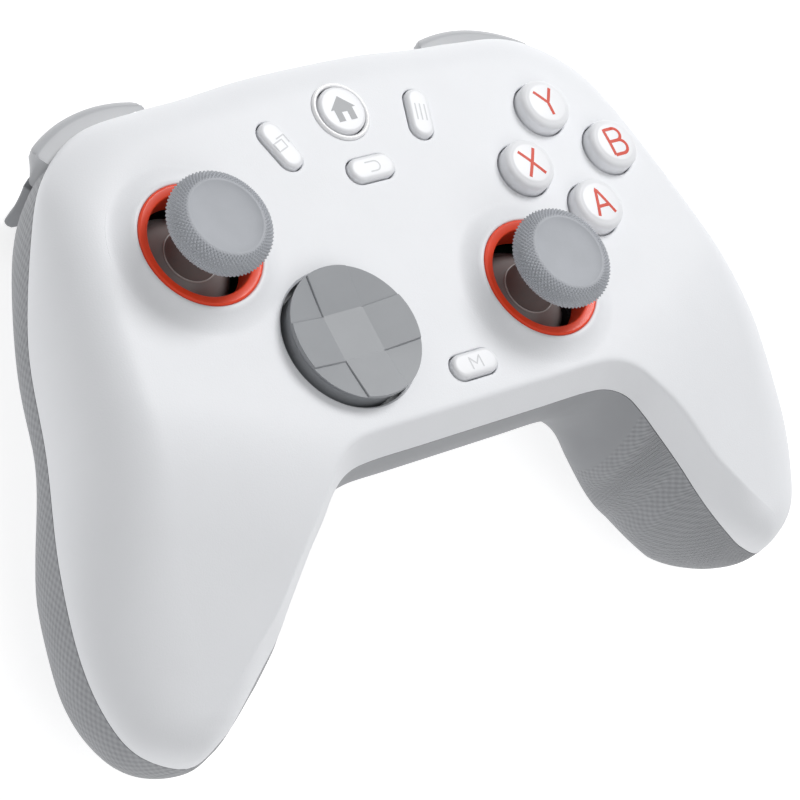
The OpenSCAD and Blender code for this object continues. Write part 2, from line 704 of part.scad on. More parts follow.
// Face button with a domed edge, a keeper flange under the shell and a stem
module face_button() {
    round_r = 1.1;
    color(white) union() {
        rotate_extrude($fn = 96) polygon(concat(
            [[0, -wall - 1], [face_r, -wall - 1]],
            [for (k = [0:6]) let (q = 15 * k)
                [face_r - round_r + round_r * cos(q), face_top - 0.25 - round_r + round_r * sin(q)]],
            [[face_r * 0.5, face_top - 0.06], [0, face_top]]));
        translate([0, 0, -wall - free_gap - 1.2]) cylinder(r = face_r + 0.9, h = 1.2);
        translate([0, 0, -mat_top + face_travel + 0.1])
            cylinder(r = 2.2, h = mat_top - face_travel - 0.1 - wall - 1);
    }
}
module button_a() at_face() at_face_button(270) face_button();
module button_b() at_face() at_face_button(0) face_button();
module button_x() at_face() at_face_button(180) face_button();
module button_y() at_face() at_face_button(90) face_button();

module home_button() {
    color(white) at_face() at_home() union() {
        rotate_extrude($fn = 96) polygon(concat(
            [[0, -wall - 1], [home_r, -wall - 1]],
            [for (k = [0:6]) let (q = 15 * k)
                [home_r - 0.6 + 0.6 * cos(q), pill_top - 0.6 + 0.6 * sin(q)]],
            [[0, pill_top]]));
        translate([0, 0, -wall - free_gap - 1.2]) cylinder(r = home_r + 0.9, h = 1.2);
        translate([0, 0, -mat_top + pill_travel + 0.1])
            cylinder(r = 2.2, h = mat_top - pill_travel - 0.1 - wall - 1);
    }
}

// Bright ring set flush in the face round the home button
module home_ring() {
    color(white) at_face() at_home() tube(home_hole_r - seat_fit, home_r + button_gap, -wall, 0.3);
}

// Small button with round ends, a soft top edge, a keeper flange and a stem
module pill_button() {
    color(white) union() {
        translate([0, 0, -wall - 1])
            linear_extrude(wall + 1 + pill_top - 0.35) slot(pill_length, pill_width);
        hull() for (x = [-1, 1]) translate([x * (pill_length - pill_width) / 2, 0, pill_top - 0.4])
            cylinder(r1 = pill_width / 2, r2 = pill_width / 2 - 0.5, h = 0.4, $fn = 32);
        translate([0, 0, -wall - free_gap - 1.2])
            linear_extrude(1.2) slot(pill_length + 1.8, pill_width + 1.8);
        translate([0, 0, -mat_top + pill_travel + 0.1])
            cylinder(r = 1.6, h = mat_top - pill_travel - 0.1 - wall - 1);
    }
}
module view_button() at_face() at_view() pill_button();
module menu_button() at_face() at_menu() pill_button();
module share_button() at_face() at_share() pill_button();
module mode_button() at_face() at_mode() pill_button();

// Bumpers and triggers, drawn for the right side

// Plan of a bumper with rounded outer corners, drawn a little wide of its profile
function polar(r, a) = [r * cos(a), r * sin(a)];
function bumper_plan() =
    let (c = bumper_corner, r = bumper_r + 0.1, d = asin(c / (r - c)),
        lo = bumper_end + d, hi = bumper_start - d)
    concat(
        [for (k = [0:5]) polar(r - c, lo) + polar(c, mix(bumper_end - 90, lo, k / 5))],
        [for (k = [1:9]) polar(r, mix(lo, hi, k / 10))],
        [for (k = [0:5]) polar(r - c, hi) + polar(c, mix(hi, bumper_start + 90, k / 5))],
        [for (k = [10:-1:0]) polar(bumper_in - 2, mix(bumper_end, bumper_start, k / 10))]);

module bumper() {
    top = -bumper_top;
    low = -bumper_top - bumper_height;
    color(light_grey) difference() {
        union() {
            intersection() {
                shoulder_sector(bumper_end - 2, bumper_start + 2) polygon([
                    [bumper_in, low], [shoulder_r + 0.3, low], [shoulder_r + 0.9, low + 0.8],
                    [bumper_r - 0.3, top - 2], [bumper_r, top - 1.2], [bumper_r - 0.4, top - 0.5],
                    [bumper_r - 1.3, top], [bumper_in, top]]);
                translate([shoulder_x, shoulder_y, low - 1])
                    linear_extrude(bumper_height + 2) polygon(bumper_plan());
            }
            translate([bumper_pin[0], bumper_pin[1], low + 0.2])
                cylinder(r = bumper_lug, h = bumper_height - 0.4);
        }
        translate([bumper_pin[0], bumper_pin[1], low - 1])
            cylinder(r = bumper_pin_r + run_fit, h = bumper_height + 2);
    }
}
module right_bumper() at_face() bumper();
module left_bumper() mirror([1, 0, 0]) right_bumper();

module bumper_pins() {
    color(steel) at_face() both_sides() translate([bumper_pin[0], bumper_pin[1], -arm_low])
        cylinder(r = bumper_pin_r, h = arm_low - bumper_top + 0.3);
}

module trigger() {
    top = -bumper_top - bumper_height - 0.5;
    low = -trigger_low;
    inner = shoulder_r - 2.4;
    color(grey) difference() {
        union() {
            shoulder_sector(trigger_end, trigger_start) polygon(concat(
                [[inner, top], [inner, low + 1.4], [inner + 0.7, low + 0.2]],
                [for (k = [0:5]) let (q = -90 + 20 * k)
                    [shoulder_r - trigger_round + trigger_round * cos(q),
                        low + trigger_round + trigger_round * sin(q)]],
                [for (k = [1:6]) let (f = k / 6)
                    [shoulder_r + 1.1 * f * f, low + 1.4 + (trigger_height - 1.4) * f]]));
            for (x = [trigger_in, trigger_out - cheek]) translate([x, 0, 0])
                rotate([90, 0, 90]) linear_extrude(cheek) {
                    translate([trigger_y, -trigger_z]) circle(r = trigger_pin_r + 2);
                    polygon([[trigger_y, -trigger_z + trigger_pin_r + 1.6], [trigger_y + 2, top],
                        [reach(x), top], [reach(x), low + 3.6],
                        [trigger_y, -trigger_z - trigger_pin_r - 1.6]]);
                }
        }
        translate([0, trigger_y, -trigger_z]) rod_x(trigger_pin_r + run_fit, 4 * trigger_out);
    }
}
module right_trigger() at_face() trigger();
module left_trigger() mirror([1, 0, 0]) right_trigger();
// Where a cheek ends inside the finger wall
function reach(x) =
    let (d = max(x + cheek - shoulder_x, shoulder_x - x), r = shoulder_r - 1.6)
    shoulder_y + sqrt(r * r - d * d);

module trigger_pins() {
    color(steel) at_face() both_sides()
        translate([(ear_in + ear_out) / 2, trigger_y, -trigger_z])
            rod_x(trigger_pin_r, ear_out - ear_in);
}

// Coil spring round a trigger pin, as one tube along a helix
function coil_point(f, turns, r, length) =
    [length * (f - 0.5), r * cos(360 * turns * f), r * sin(360 * turns * f)];
module coil(turns, r, wire, length) {
    rings = turns * 10;
    sides = 6;
    last = rings * sides;
    pts = [for (k = [0:rings])
        let (c = coil_point(k / rings, turns, r, length), a = 360 * turns * k / rings)
        for (j = [0:sides - 1]) let (b = 360 * j / sides)
            [c[0] + wire * sin(b), c[1] + wire * cos(b) * cos(a), c[2] + wire * cos(b) * sin(a)]];
    sheet = [for (k = [0:rings - 1]) for (j = [0:sides - 1])
        let (m = (j + 1) % sides, p = k * sides, q = p + sides)
        for (f = [[p + j, q + j, q + m], [p + j, q + m, p + m]]) f];
    ends = concat(
        [for (j = [1:sides - 2]) [0, j, j + 1]],
        [for (j = [1:sides - 2]) [last, last + j + 1, last + j]]);
    polyhedron(points = pts, faces = concat(sheet, ends), convexity = 6);
}
module trigger_springs() {
    color(steel) at_face() both_sides()
        translate([(trigger_in + trigger_out) / 2, trigger_y, -trigger_z])
            coil(5, trigger_pin_r + 0.7, 0.35, trigger_out - trigger_in - 2 * cheek - 1);
}

// Inner frame: a wall behind each trigger, ears for its pin and an arm under the bumper pin
module shoulder_frame() {
    color(rubber) at_face() both_sides() difference() {
        union() {
            translate([arm_x, frame_back, -trigger_z - 4]) cube([ear_out - arm_x, frame_wall, 12]);
            translate([ear_in - 0.6, frame_back, -back_depth + wall + 0.6])
                cube([8, frame_wall, back_depth - wall - trigger_z]);
            for (x = [ear_in, ear_out - ear]) translate([x, 0, 0]) {
                translate([0, trigger_y, -trigger_z]) rotate([0, 90, 0])
                    cylinder(r = trigger_pin_r + 1.6, h = ear);
                translate([0, frame_back, -trigger_z - 2.8]) cube([ear, trigger_y - frame_back, 5.6]);
            }
            translate([arm_x, frame_back, -arm_low])
                cube([arm_w, bumper_pin[1] - frame_back, arm_thick]);
            translate([bumper_pin[0], bumper_pin[1], -arm_low]) cylinder(r = bumper_lug, h = arm_thick);
        }
        translate([(ear_in + ear_out) / 2, trigger_y, -trigger_z])
            rod_x(trigger_pin_r + seat_fit, ear_out - ear_in + 0.2);
        translate([bumper_pin[0], bumper_pin[1], -arm_low - 1])
            cylinder(r = bumper_pin_r + seat_fit, h = arm_thick + 2);
    }
}

// Inside

// Raised pad of a contact mat
module mat_pad(r) translate([0, 0, -board_depth]) cylinder(r = r, h = mat_thick);

module face_membrane() {
    color(rubber) at_face() difference() {
        union() {
            translate([abxy_x, abxy_y, -board_depth]) cylinder(r = 5.5, h = mat_thick / 2);
            for (a = [0:90:270]) {
                at_face_button(a) translate([0, 0, -board_depth]) cylinder(r = 4.6, h = mat_thick / 2);
                at_face_button(a) mat_pad(2.4);
            }
        }
        translate([arm_x, frame_back - free_gap, -board_depth - 1]) cube([ear_out, 10, mat_thick + 2]);
    }
}

module dpad_membrane() {
    color(rubber) at_face() at_dpad() difference() {
        union() {
            translate([0, 0, -board_depth]) cylinder(r = dpad_stem + 3.4, h = mat_thick / 2);
            for (a = [0:90:270]) rotate([0, 0, a]) translate([dpad_stem, 0, 0]) mat_pad(2.4);
        }
        translate([0, 0, -board_depth - 1]) cylinder(r = 5 + seat_fit, h = 5);
    }
}

module center_membrane() {
    color(rubber) at_face() union() {
        translate([-pill_x - 3.5, pill_y - 3, -board_depth]) cube([2 * pill_x + 7, 6, mat_thick / 2]);
        translate([-3.5, share_y - 3.5, -board_depth]) cube([7, home_y - share_y + 6, mat_thick / 2]);
        at_home() mat_pad(2.4);
        at_view() mat_pad(2);
        at_menu() mat_pad(2);
        at_share() mat_pad(2);
        at_mode() mat_pad(2.6);
    }
}

module main_board() {
    color(board_green) at_face() difference() {
        translate([0, 0, -board_depth - board_thick]) linear_extrude(board_thick) polygon(concat(
            board_edge,
            [for (k = [len(board_edge) - 1:-1:0]) [-board_edge[k][0], board_edge[k][1]]]));
        at_shell_screws() translate([0, 0, -board_depth - 5]) cylinder(r = boss_r + 0.4, h = 10);
        at_board_screws() translate([0, 0, -board_depth - 5]) cylinder(r = pilot_r + 0.1, h = 10);
    }
}

module battery() {
    corner = 1.5;
    color([0.25, 0.27, 0.30]) at_face()
        translate([0, battery_y, -back_depth + wall + 0.2]) linear_extrude(battery_t) union() {
            square([battery_l - 2 * corner, battery_w], center = true);
            square([battery_l, battery_w - 2 * corner], center = true);
            for (x = [-1, 1]) for (y = [-1, 1])
                translate([x * (battery_l / 2 - corner), y * (battery_w / 2 - corner)])
                    circle(r = corner);
        }
}

module usb_socket() {
    color(steel) at_face() translate([0, usb_face, usb_z]) rotate([90, 0, 0]) union() {
        difference() {
            linear_extrude(usb_l) slot(usb_w, usb_h);
            translate([0, 0, -1]) linear_extrude(usb_l) slot(usb_w - 0.7, usb_h - 0.7);
        }
        translate([-usb_w * 0.36, -0.35, 0.6]) cube([usb_w * 0.72, 0.7, usb_l - 0.7]);
    }
}

module motor() {
    color(steel) difference() {
        translate([motor_x, motor_y - motor_l / 2, motor_z]) union() {
            rod_y(motor_r, motor_l);
            rod_y(motor_r * 0.45, motor_l + 1.2);
        }
        translate([motor_x, motor_y - motor_l, motor_z]) rod_y(shaft_r + run_fit, 10);
    }
}
module right_motor() at_face() motor();
module left_motor() mirror([1, 0, 0]) right_motor();

// Half-round weight and its shaft
module motor_weight() {
    far = motor_y - motor_l - 1.2;
    color([0.55, 0.50, 0.42]) translate([motor_x, 0, motor_z]) union() {
        translate([0, far - weight_l / 2, 0]) rotate([90, 0, 0]) union() {
            translate([0, 0, -weight_l / 2]) rotate([0, 0, 180]) rotate_extrude(angle = 180, $fn = 96)
                square([weight_r, weight_l]);
            cylinder(r = shaft_r + 1.2, h = weight_l, center = true);
        }
        translate([0, far + 2.2 - weight_l / 2, 0]) rod_y(shaft_r, weight_l + 4.4);
    }
}
module right_motor_weight() at_face() motor_weight();
module left_motor_weight() mirror([1, 0, 0]) right_motor_weight();

module shell_screws() {
    seat = -back_depth + head_seat;
    color(steel) at_face() at_shell_screws() union() {
        translate([0, 0, seat - 1.6]) cylinder(r = head_r, h = 1.6);
        translate([0, 0, seat - 0.1]) cylinder(r = screw_r, h = back_depth - head_seat - 5);
    }
}

module board_screws() {
    under = -board_depth - board_thick;
    color(steel) at_face() at_board_screws() union() {
        translate([0, 0, under - 1.1]) cylinder(r = pilot_r + 0.9, h = 1.1);
        translate([0, 0, under - 0.1]) cylinder(r = pilot_r, h = board_thick + 6);
    }
}

front_shell();
back_shell();
left_stick_ring();
right_stick_ring();
left_stick_cap();
right_stick_cap();
left_stick_stalk();
right_stick_stalk();
left_stick_yoke();
right_stick_yoke();
left_stick_carrier();
right_stick_carrier();
left_stick_housing();
right_stick_housing();
dpad();
dpad_spider();
dpad_post();
button_a();
button_b();
button_x();
button_y();
home_button();
home_ring();
view_button();
menu_button();
share_button();
mode_button();
left_bumper();
right_bumper();
bumper_pins();
left_trigger();
right_trigger();
trigger_pins();
trigger_springs();
shoulder_frame();
face_membrane();
dpad_membrane();
center_membrane();
main_board();
battery();
usb_socket();
left_motor();
right_motor();
left_motor_weight();
right_motor_weight();
shell_screws();
board_screws();
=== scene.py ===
import json
import math

import bmesh
import bpy
from mathutils import Matrix, Vector


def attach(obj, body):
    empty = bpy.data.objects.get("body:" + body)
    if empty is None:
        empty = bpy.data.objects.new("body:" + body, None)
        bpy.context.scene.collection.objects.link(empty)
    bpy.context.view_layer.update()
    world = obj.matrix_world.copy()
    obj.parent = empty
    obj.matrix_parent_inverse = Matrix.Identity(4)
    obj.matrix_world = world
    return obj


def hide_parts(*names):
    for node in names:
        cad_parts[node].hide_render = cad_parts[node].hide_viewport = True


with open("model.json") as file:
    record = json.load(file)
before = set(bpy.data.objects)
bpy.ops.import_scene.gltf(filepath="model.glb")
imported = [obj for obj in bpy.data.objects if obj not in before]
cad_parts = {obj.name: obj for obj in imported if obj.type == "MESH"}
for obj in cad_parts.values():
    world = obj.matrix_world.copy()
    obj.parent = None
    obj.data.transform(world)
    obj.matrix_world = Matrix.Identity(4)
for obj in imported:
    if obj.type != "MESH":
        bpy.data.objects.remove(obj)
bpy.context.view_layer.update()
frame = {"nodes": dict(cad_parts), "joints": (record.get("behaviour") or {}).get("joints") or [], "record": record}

joints = {j["name"]: j for j in frame["joints"]}

# Sizes in millimetres, shared with the part's source
TOP_EDGE, LIP_EDGE, LIP_DEPTH, LIP_WIDTH = 40.8, 28.4, 5.4, 3.0
TIP_X, TIP_REACH, TIP_DEPTH, HALF_W = 64.8, 59.8, 29.0, 77.5
BACK_DEPTH, GRIP_DEPTH, WALL, SEAM = 28.5, 45.0, 2.2, 0.2
SHOULDER, SHOULDER_R, RIM_DEPTH = (37.2, 14.4), 25.2, 7.2
BUMPER_R, BUMPER_TOP, BUMPER_H, BUMPER_IN = 28.8, 7.8, 6.8, 23.2
BUMPER_A, BUMPER_B, BUMPER_CORNER = 53.0, 105.0, 2.2
TRIGGER_Y, TRIGGER_Z, TRIGGER_LOW, TRIGGER_H = 28.5, 17.5, 26.1, 11.0
STICKS = {"left": (-39.9, 11.5), "right": (20.6, -9.0)}
RING_R, COLLAR_H, COLLAR_R, CAP_R, CAP_TOP, CAP_THICK = 10.9, 1.9, 15.6, 8.95, 11.2, 5.4
NECK_R, DOME_R, DOME_EDGE, PIVOT = 4.6, 10.5, 68, 11.5
DPAD, DPAD_R, DPAD_TOP, DPAD_ARM, DPAD_MID = (-20.6, -9.5), 11.9, 3.2, 8.2, 1.7
FACE_R, FACE_TOP = 4.9, 2.8
FACE = {"a": (40.6, 0.85), "b": (50.65, 10.9), "x": (30.55, 10.9), "y": (40.6, 20.95)}
HOME_Y, HOME_R, PILL_L, PILL_W, PILL_TOP = 28.9, 4.4, 9.4, 4.4, 1.0
PILLS = {"view": (-15.1, 25.3, 108), "menu": (15.1, 25.3, 72), "share": (0, 17.8, 0), "mode": (0, -19.6, 0)}
BUMPER_PIN, BUMPER_LUG = (32.43, 38.94), 2.2
TRIGGER_A, TRIGGER_B, TRIGGER_BORE, CHEEKS, CHEEK_W = 52, 94, 1.3, (36, 46.5), 2
INLET_W, INLET_H, INLET_Z = 9.5, 3.8, 14.9
SCREWS = [(25, 21), (-25, 21), (38, -12), (-38, -12)]
HEAD_SEAT, HEAD_R, WELL_R, BOSS_R, BOSS_SPLIT = 24.3, 2.1, 2.3, 3, 12

# The grips' skin bends and rounds more softly than the solids, as the photograph shows it
GRIP_START, GRIP_BEND, GRIP_SLOPE = 32.6, 20.0, 0.58
DEEPEN_START, DEEPEN_RUN, TIP_RUN = 32.0, 25.0, 15.0
DOTS_START = 4.9

# Pieces are drawn in millimetres about the face centre, Z out of the face.
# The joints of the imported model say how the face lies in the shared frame.
press = Vector(joints["button_a_press"]["axis"])
tilt = Matrix.Rotation(-math.atan2(-press.y, -press.z), 4, "X")
left_pivot = Vector(joints["left_stick_fore_aft"]["pos_m"])
pivot_mm = Vector((*STICKS["left"], -PIVOT))
place = Matrix.Translation(left_pivot - tilt @ pivot_mm * 0.001) @ tilt @ Matrix.Scale(0.001, 4)


# Materials

def material(name, colour, rough, spread=0.04, patch=160, grain=5200, bump=0.12, depth=0.00004,
             metal=0.0, coat=0.0, uneven=0.05):
    """Moulded or metal surface: soft colour drift, uneven gloss and a fine moulded grain."""
    mat = bpy.data.materials.new(name)
    mat.use_nodes = True
    nodes, links = mat.node_tree.nodes, mat.node_tree.links
    shader = nodes["Principled BSDF"]
    shader.inputs["Metallic"].default_value = metal
    shader.inputs["Coat Weight"].default_value = coat
    place_in = nodes.new("ShaderNodeTexCoord")
    drift = nodes.new("ShaderNodeTexNoise")
    drift.inputs["Scale"].default_value = patch
    drift.inputs["Detail"].default_value = 4
    links.new(place_in.outputs["Object"], drift.inputs["Vector"])
    ramp = nodes.new("ShaderNodeValToRGB")
    ramp.name = "tint"
    ramp.color_ramp.elements[0].position = 0.3
    ramp.color_ramp.elements[1].position = 0.7
    ramp.color_ramp.elements[0].color = [c * (1 - spread) for c in colour] + [1]
    ramp.color_ramp.elements[1].color = [min(1, c * (1 + spread)) for c in colour] + [1]
    links.new(drift.outputs["Fac"], ramp.inputs["Fac"])
    links.new(ramp.outputs["Color"], shader.inputs["Base Color"])
    fine = nodes.new("ShaderNodeTexNoise")
    fine.inputs["Scale"].default_value = grain
    fine.inputs["Detail"].default_value = 3
    links.new(place_in.outputs["Object"], fine.inputs["Vector"])
    gloss = nodes.new("ShaderNodeMapRange")
    gloss.inputs["To Min"].default_value = rough - uneven
    gloss.inputs["To Max"].default_value = rough + uneven
    links.new(fine.outputs["Fac"], gloss.inputs["Value"])
    links.new(gloss.outputs["Result"], shader.inputs["Roughness"])
    relief = nodes.new("ShaderNodeBump")
    relief.name = "relief"
    relief.inputs["Strength"].default_value = bump
    relief.inputs["Distance"].default_value = depth
    links.new(fine.outputs["Fac"], relief.inputs["Height"])
    links.new(relief.outputs["Normal"], shader.inputs["Normal"])
    return mat


def dotted(mat, pitch, height):
    """Adds the grip's grid of tiny raised dots, laid out in the piece's millimetre UVs, with painted shade between
    them and painted light on their tops.
    """
    nodes, links = mat.node_tree.nodes, mat.node_tree.links
    uv = nodes.new("ShaderNodeUVMap")
    uv.uv_map = "mm"
    split = nodes.new("ShaderNodeSeparateXYZ")
    links.new(uv.outputs["UV"], split.inputs["Vector"])
    waves = []
    for axis in ("X", "Y"):
        turn = nodes.new("ShaderNodeMath")
        turn.operation = "MULTIPLY"
        turn.inputs[1].default_value = 2 * math.pi / pitch
        links.new(split.outputs[axis], turn.inputs[0])
        wave = nodes.new("ShaderNodeMath")
        wave.operation = "COSINE"
        links.new(turn.outputs[0], wave.inputs[0])
        waves.append(wave)
    both = nodes.new("ShaderNodeMath")
    both.operation = "MULTIPLY"
    links.new(waves[0].outputs[0], both.inputs[0])
    links.new(waves[1].outputs[0], both.inputs[1])
    where = nodes.new("ShaderNodeAttribute")
    where.attribute_name = "dots"
    limit = nodes.new("ShaderNodeMath")
    limit.operation = "MULTIPLY"
    links.new(both.outputs[0], limit.inputs[0])
    links.new(where.outputs["Fac"], limit.inputs[1])
    dots = nodes.new("ShaderNodeBump")
    dots.inputs["Strength"].default_value = 0.7
    dots.inputs["Distance"].default_value = height
    links.new(limit.outputs[0], dots.inputs["Height"])
    links.new(nodes["relief"].outputs["Normal"], dots.inputs["Normal"])
    links.new(dots.outputs["Normal"], nodes["Principled BSDF"].inputs["Normal"])
    # Painted shade and light: the base colour is darkened in the hollows between the dots and lightened on their
    # tops, in place of the shade and light their relief would catch
    shade = nodes.new("ShaderNodeMapRange")
    shade.inputs["From Min"].default_value = -1
    shade.inputs["To Min"].default_value = 0.89
    shade.inputs["To Max"].default_value = 1.11
    links.new(limit.outputs[0], shade.inputs["Value"])
    painted_shade_tint = nodes.new("ShaderNodeVectorMath")
    painted_shade_tint.operation = "SCALE"
    links.new(nodes["tint"].outputs["Color"], painted_shade_tint.inputs[0])
    links.new(shade.outputs["Result"], painted_shade_tint.inputs["Scale"])
    links.new(painted_shade_tint.outputs["Vector"], nodes["Principled BSDF"].inputs["Base Color"])
    return mat


WHITE = material("white shell", (0.825, 0.838, 0.865), 0.52, 0.008, 120, 3600, 0.32, 0.00007)
GREY = dotted(material("grey shell", (0.30, 0.308, 0.325), 0.55, 0.03, 140, 4200, 0.12), 1.6, 0.00014)
LIGHT = material("bumper", (0.475, 0.485, 0.505), 0.36, 0.02, 150, 6000, 0.06)
TRIGGER = material("trigger", (0.29, 0.298, 0.315), 0.55, 0.03, 150, 3600, 0.22, 0.00006)
ORANGE = material("orange ring", (0.86, 0.055, 0.010), 0.42, 0.03, 200, 7000, 0.04, coat=0.08)
RUBBER = material("thumb rubber", (0.425, 0.442, 0.475), 0.62, 0.03, 260, 6000, 0.14)
STALK = material("stalk", (0.235, 0.222, 0.218), 0.42, 0.04, 260, 6000, 0.08)
COLLAR_LINE = material("neck line", (0.50, 0.49, 0.48), 0.38, 0.03, 300, 6000, 0.05)
PAD = material("direction pad", (0.298, 0.31, 0.328), 0.46, 0.02, 200, 6000, 0.06)
BUTTON = material("button", (0.835, 0.845, 0.87), 0.38, 0.008, 200, 6000, 0.04)
LETTER = material("letter", (0.66, 0.05, 0.018), 0.5, 0.02, 400, 8000, 0.03)
ICON = material("icon", (0.36, 0.37, 0.385), 0.45, 0.02, 400, 8000, 0.03)
FAINT = material("faint icon", (0.60, 0.61, 0.63), 0.45, 0.02, 400, 8000, 0.03)
GUIDE = material("light ring", (0.92, 0.92, 0.93), 0.22, 0.01, 300, 6000, 0.03, coat=0.4)
STEEL = material("steel", (0.58, 0.585, 0.60), 0.30, 0.06, 900, 9000, 0.10, metal=1.0)
FRAME = material("inner frame", (0.055, 0.058, 0.065), 0.50, 0.08, 200, 4200, 0.15)
MAT = material("contact rubber", (0.06, 0.062, 0.07), 0.65, 0.08, 260, 5200, 0.15)
BOARD = material("board", (0.018, 0.10, 0.05), 0.35, 0.25, 420, 2400, 0.15, coat=0.3)
CELL = material("cell", (0.07, 0.08, 0.10), 0.32, 0.08, 120, 3800, 0.08)
WEIGHT = material("weight", (0.42, 0.34, 0.22), 0.38, 0.10, 500, 5200, 0.15, metal=1.0)

SLOT_LOOK = {
    "white_shell": WHITE, "grey_shell": GREY, "orange_ring": ORANGE, "thumb_rubber": RUBBER,
    "dark_stalk": STALK, "grey_pad": PAD, "white_button": BUTTON, "light_ring": GUIDE,
    "light_grey": LIGHT, "grey_trigger": TRIGGER, "inner_frame": FRAME, "contact_rubber": MAT,
    "board": BOARD, "cell": CELL, "steel": STEEL, "weight": WEIGHT,
}
for entry in frame["record"]["subparts"]:
    node = frame["nodes"][entry["node"]]
    node.data.materials.clear()
    node.data.materials.append(SLOT_LOOK[entry["material_slot"]])


# Mesh helpers

def mesh_of(name, verts, faces):
    mesh = bpy.data.meshes.new(name)
    mesh.from_pydata([tuple(v) for v in verts], [], [tuple(f) for f in faces])
    return mesh


def finish_mesh(mesh, sharp):
    bm = bmesh.new()
    bm.from_mesh(mesh)
    bmesh.ops.remove_doubles(bm, verts=bm.verts, dist=1e-5)
    bmesh.ops.recalc_face_normals(bm, faces=bm.faces)
    bm.to_mesh(mesh)
    bm.free()
    mesh.polygons.foreach_set("use_smooth", [True] * len(mesh.polygons))
    mesh.set_sharp_from_angle(angle=math.radians(sharp))


def solid(name, parts):
    """A scratch object, in millimetres, from one or more (verts, faces) parts."""
    verts, faces = [], []
    for v, f in parts:
        base = len(verts)
        verts += [tuple(p) for p in v]
        faces += [tuple(i + base for i in face) for face in f]
    mesh = mesh_of(name, verts, faces)
    finish_mesh(mesh, 30)
    obj = bpy.data.objects.new(name, mesh)
    bpy.context.scene.collection.objects.link(obj)
    return obj


def applied(obj):
    """Turns an object's modifiers into its mesh."""
    graph = bpy.context.evaluated_depsgraph_get()
    mesh = bpy.data.meshes.new_from_object(obj.evaluated_get(graph))
    obj.modifiers.clear()
    obj.data = mesh
    return obj


def cut(obj, tool, operation="DIFFERENCE"):
    mod = obj.modifiers.new("cut", "BOOLEAN")
    mod.operation = operation
    mod.solver = "EXACT"
    mod.object = tool
    applied(obj)
    bpy.data.objects.remove(tool)
    return obj


def bevel(obj, width, segments=2, angle=30):
    mod = obj.modifiers.new("edge", "BEVEL")
    mod.width = width
    mod.segments = segments
    mod.limit_method = "ANGLE"
    mod.angle_limit = math.radians(angle)
    return applied(obj)


def mount(obj, look, body, stands_for=(), sharp=35, at=None):
    """Moves a millimetre mesh into the shared frame and hangs it on its body."""
    if at is not None:
        obj.data.transform(at)
    finish_mesh(obj.data, sharp)
    obj.data.transform(place)
    obj.data.materials.clear()
    obj.data.materials.append(look)
    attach(obj, body)
    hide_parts(*stands_for)
    return obj


def turned(profile, count=128, closed=False, centre=(0, 0), shape=None):
    """Points (radius, height) turned about an upright axis; shape may push a point along (radius, height)."""
    verts, faces, rows = [], [], []
    for k, (r, z) in enumerate(profile):
        if r < 1e-6:
            rows.append([len(verts)])
            verts.append((centre[0], centre[1], z))
            continue
        row = []
        for i in range(count):
            a = 2 * math.pi * i / count
            rr, zz = shape(k, a, r, z) if shape else (r, z)
            row.append(len(verts))
            verts.append((centre[0] + rr * math.cos(a), centre[1] + rr * math.sin(a), zz))
        rows.append(row)
    pairs = list(zip(rows, rows[1:])) + ([(rows[-1], rows[0])] if closed else [])
    for a, b in pairs:
        for i in range(count):
            j = (i + 1) % count
            if len(a) == 1 and len(b) == 1:
                break
            if len(a) == 1:
                faces.append((a[0], b[i], b[j]))
            elif len(b) == 1:
                faces.append((a[i], a[j], b[0]))
            else:
                faces.append((a[i], a[j], b[j], b[i]))
    return verts, faces


def arc(cx, cz, r, start, end, steps):
    return [(cx + r * math.cos(math.radians(start + (end - start) * k / steps)),
             cz + r * math.sin(math.radians(start + (end - start) * k / steps))) for k in range(steps + 1)]


def stacked(rings):
    """A closed solid through rings of equally many points, with flat ends."""
    n, last = len(rings[0]), (len(rings) - 1) * len(rings[0])
    verts = [point for ring in rings for point in ring]
    faces = [tuple(reversed(range(n))), tuple(range(last, last + n))]
    for k in range(0, last, n):
        for i in range(n):
            j = (i + 1) % n
            faces.append((k + i, k + j, k + n + j, k + n + i))
    return verts, faces


def prism(outline, low, high):
    return stacked([[(x, y, z) for x, y in outline] for z in (low, high)])


def stadium(length, width, steps=20):
    r, h = width / 2, (length - width) / 2
    right = [(h + r * math.cos(a), r * math.sin(a)) for a in
             [math.pi * (k / steps - 0.5) for k in range(steps + 1)]]
    return right + [(-x, -y) for x, y in right]


def spot_at(x, y, angle):
    """A place on the face, turned about the face's normal."""
    return Matrix.Translation((x, y, 0)) @ Matrix.Rotation(math.radians(angle), 4, "Z")


def moved(part, matrix):
    return [tuple(matrix @ Vector(v)) for v in part[0]], part[1]


def mirrored(part):
    return [(-x, y, z) for x, y, z in part[0]], [tuple(reversed(f)) for f in part[1]]


def swept(profile, angles, limit=None):
    """A closed profile (radius, height) swept about the right shoulder's axis, with flat ends."""
    verts, faces, n = [], [], len(profile)
    for a in angles:
        top = limit(a) if limit else 1e9
        for r, z in profile:
            r = min(r, top)
            verts.append((SHOULDER[0] + r * math.cos(math.radians(a)),
                          SHOULDER[1] + r * math.sin(math.radians(a)), z))
    for k in range(len(angles) - 1):
        for i in range(n):
            j = (i + 1) % n
            faces.append((k * n + i, k * n + j, (k + 1) * n + j, (k + 1) * n + i))
    faces.append(tuple(range(n)))
    faces.append(tuple(reversed(range((len(angles) - 1) * n, len(angles) * n))))
    return verts, faces


def span(a, b, count):
    return [a + (b - a) * k / count for k in range(count + 1)]


# Moulded shells

def on_shoulder(a, z):
    return (SHOULDER[0] + SHOULDER_R * math.cos(math.radians(a)),
            SHOULDER[1] + SHOULDER_R * math.sin(math.radians(a)), z)


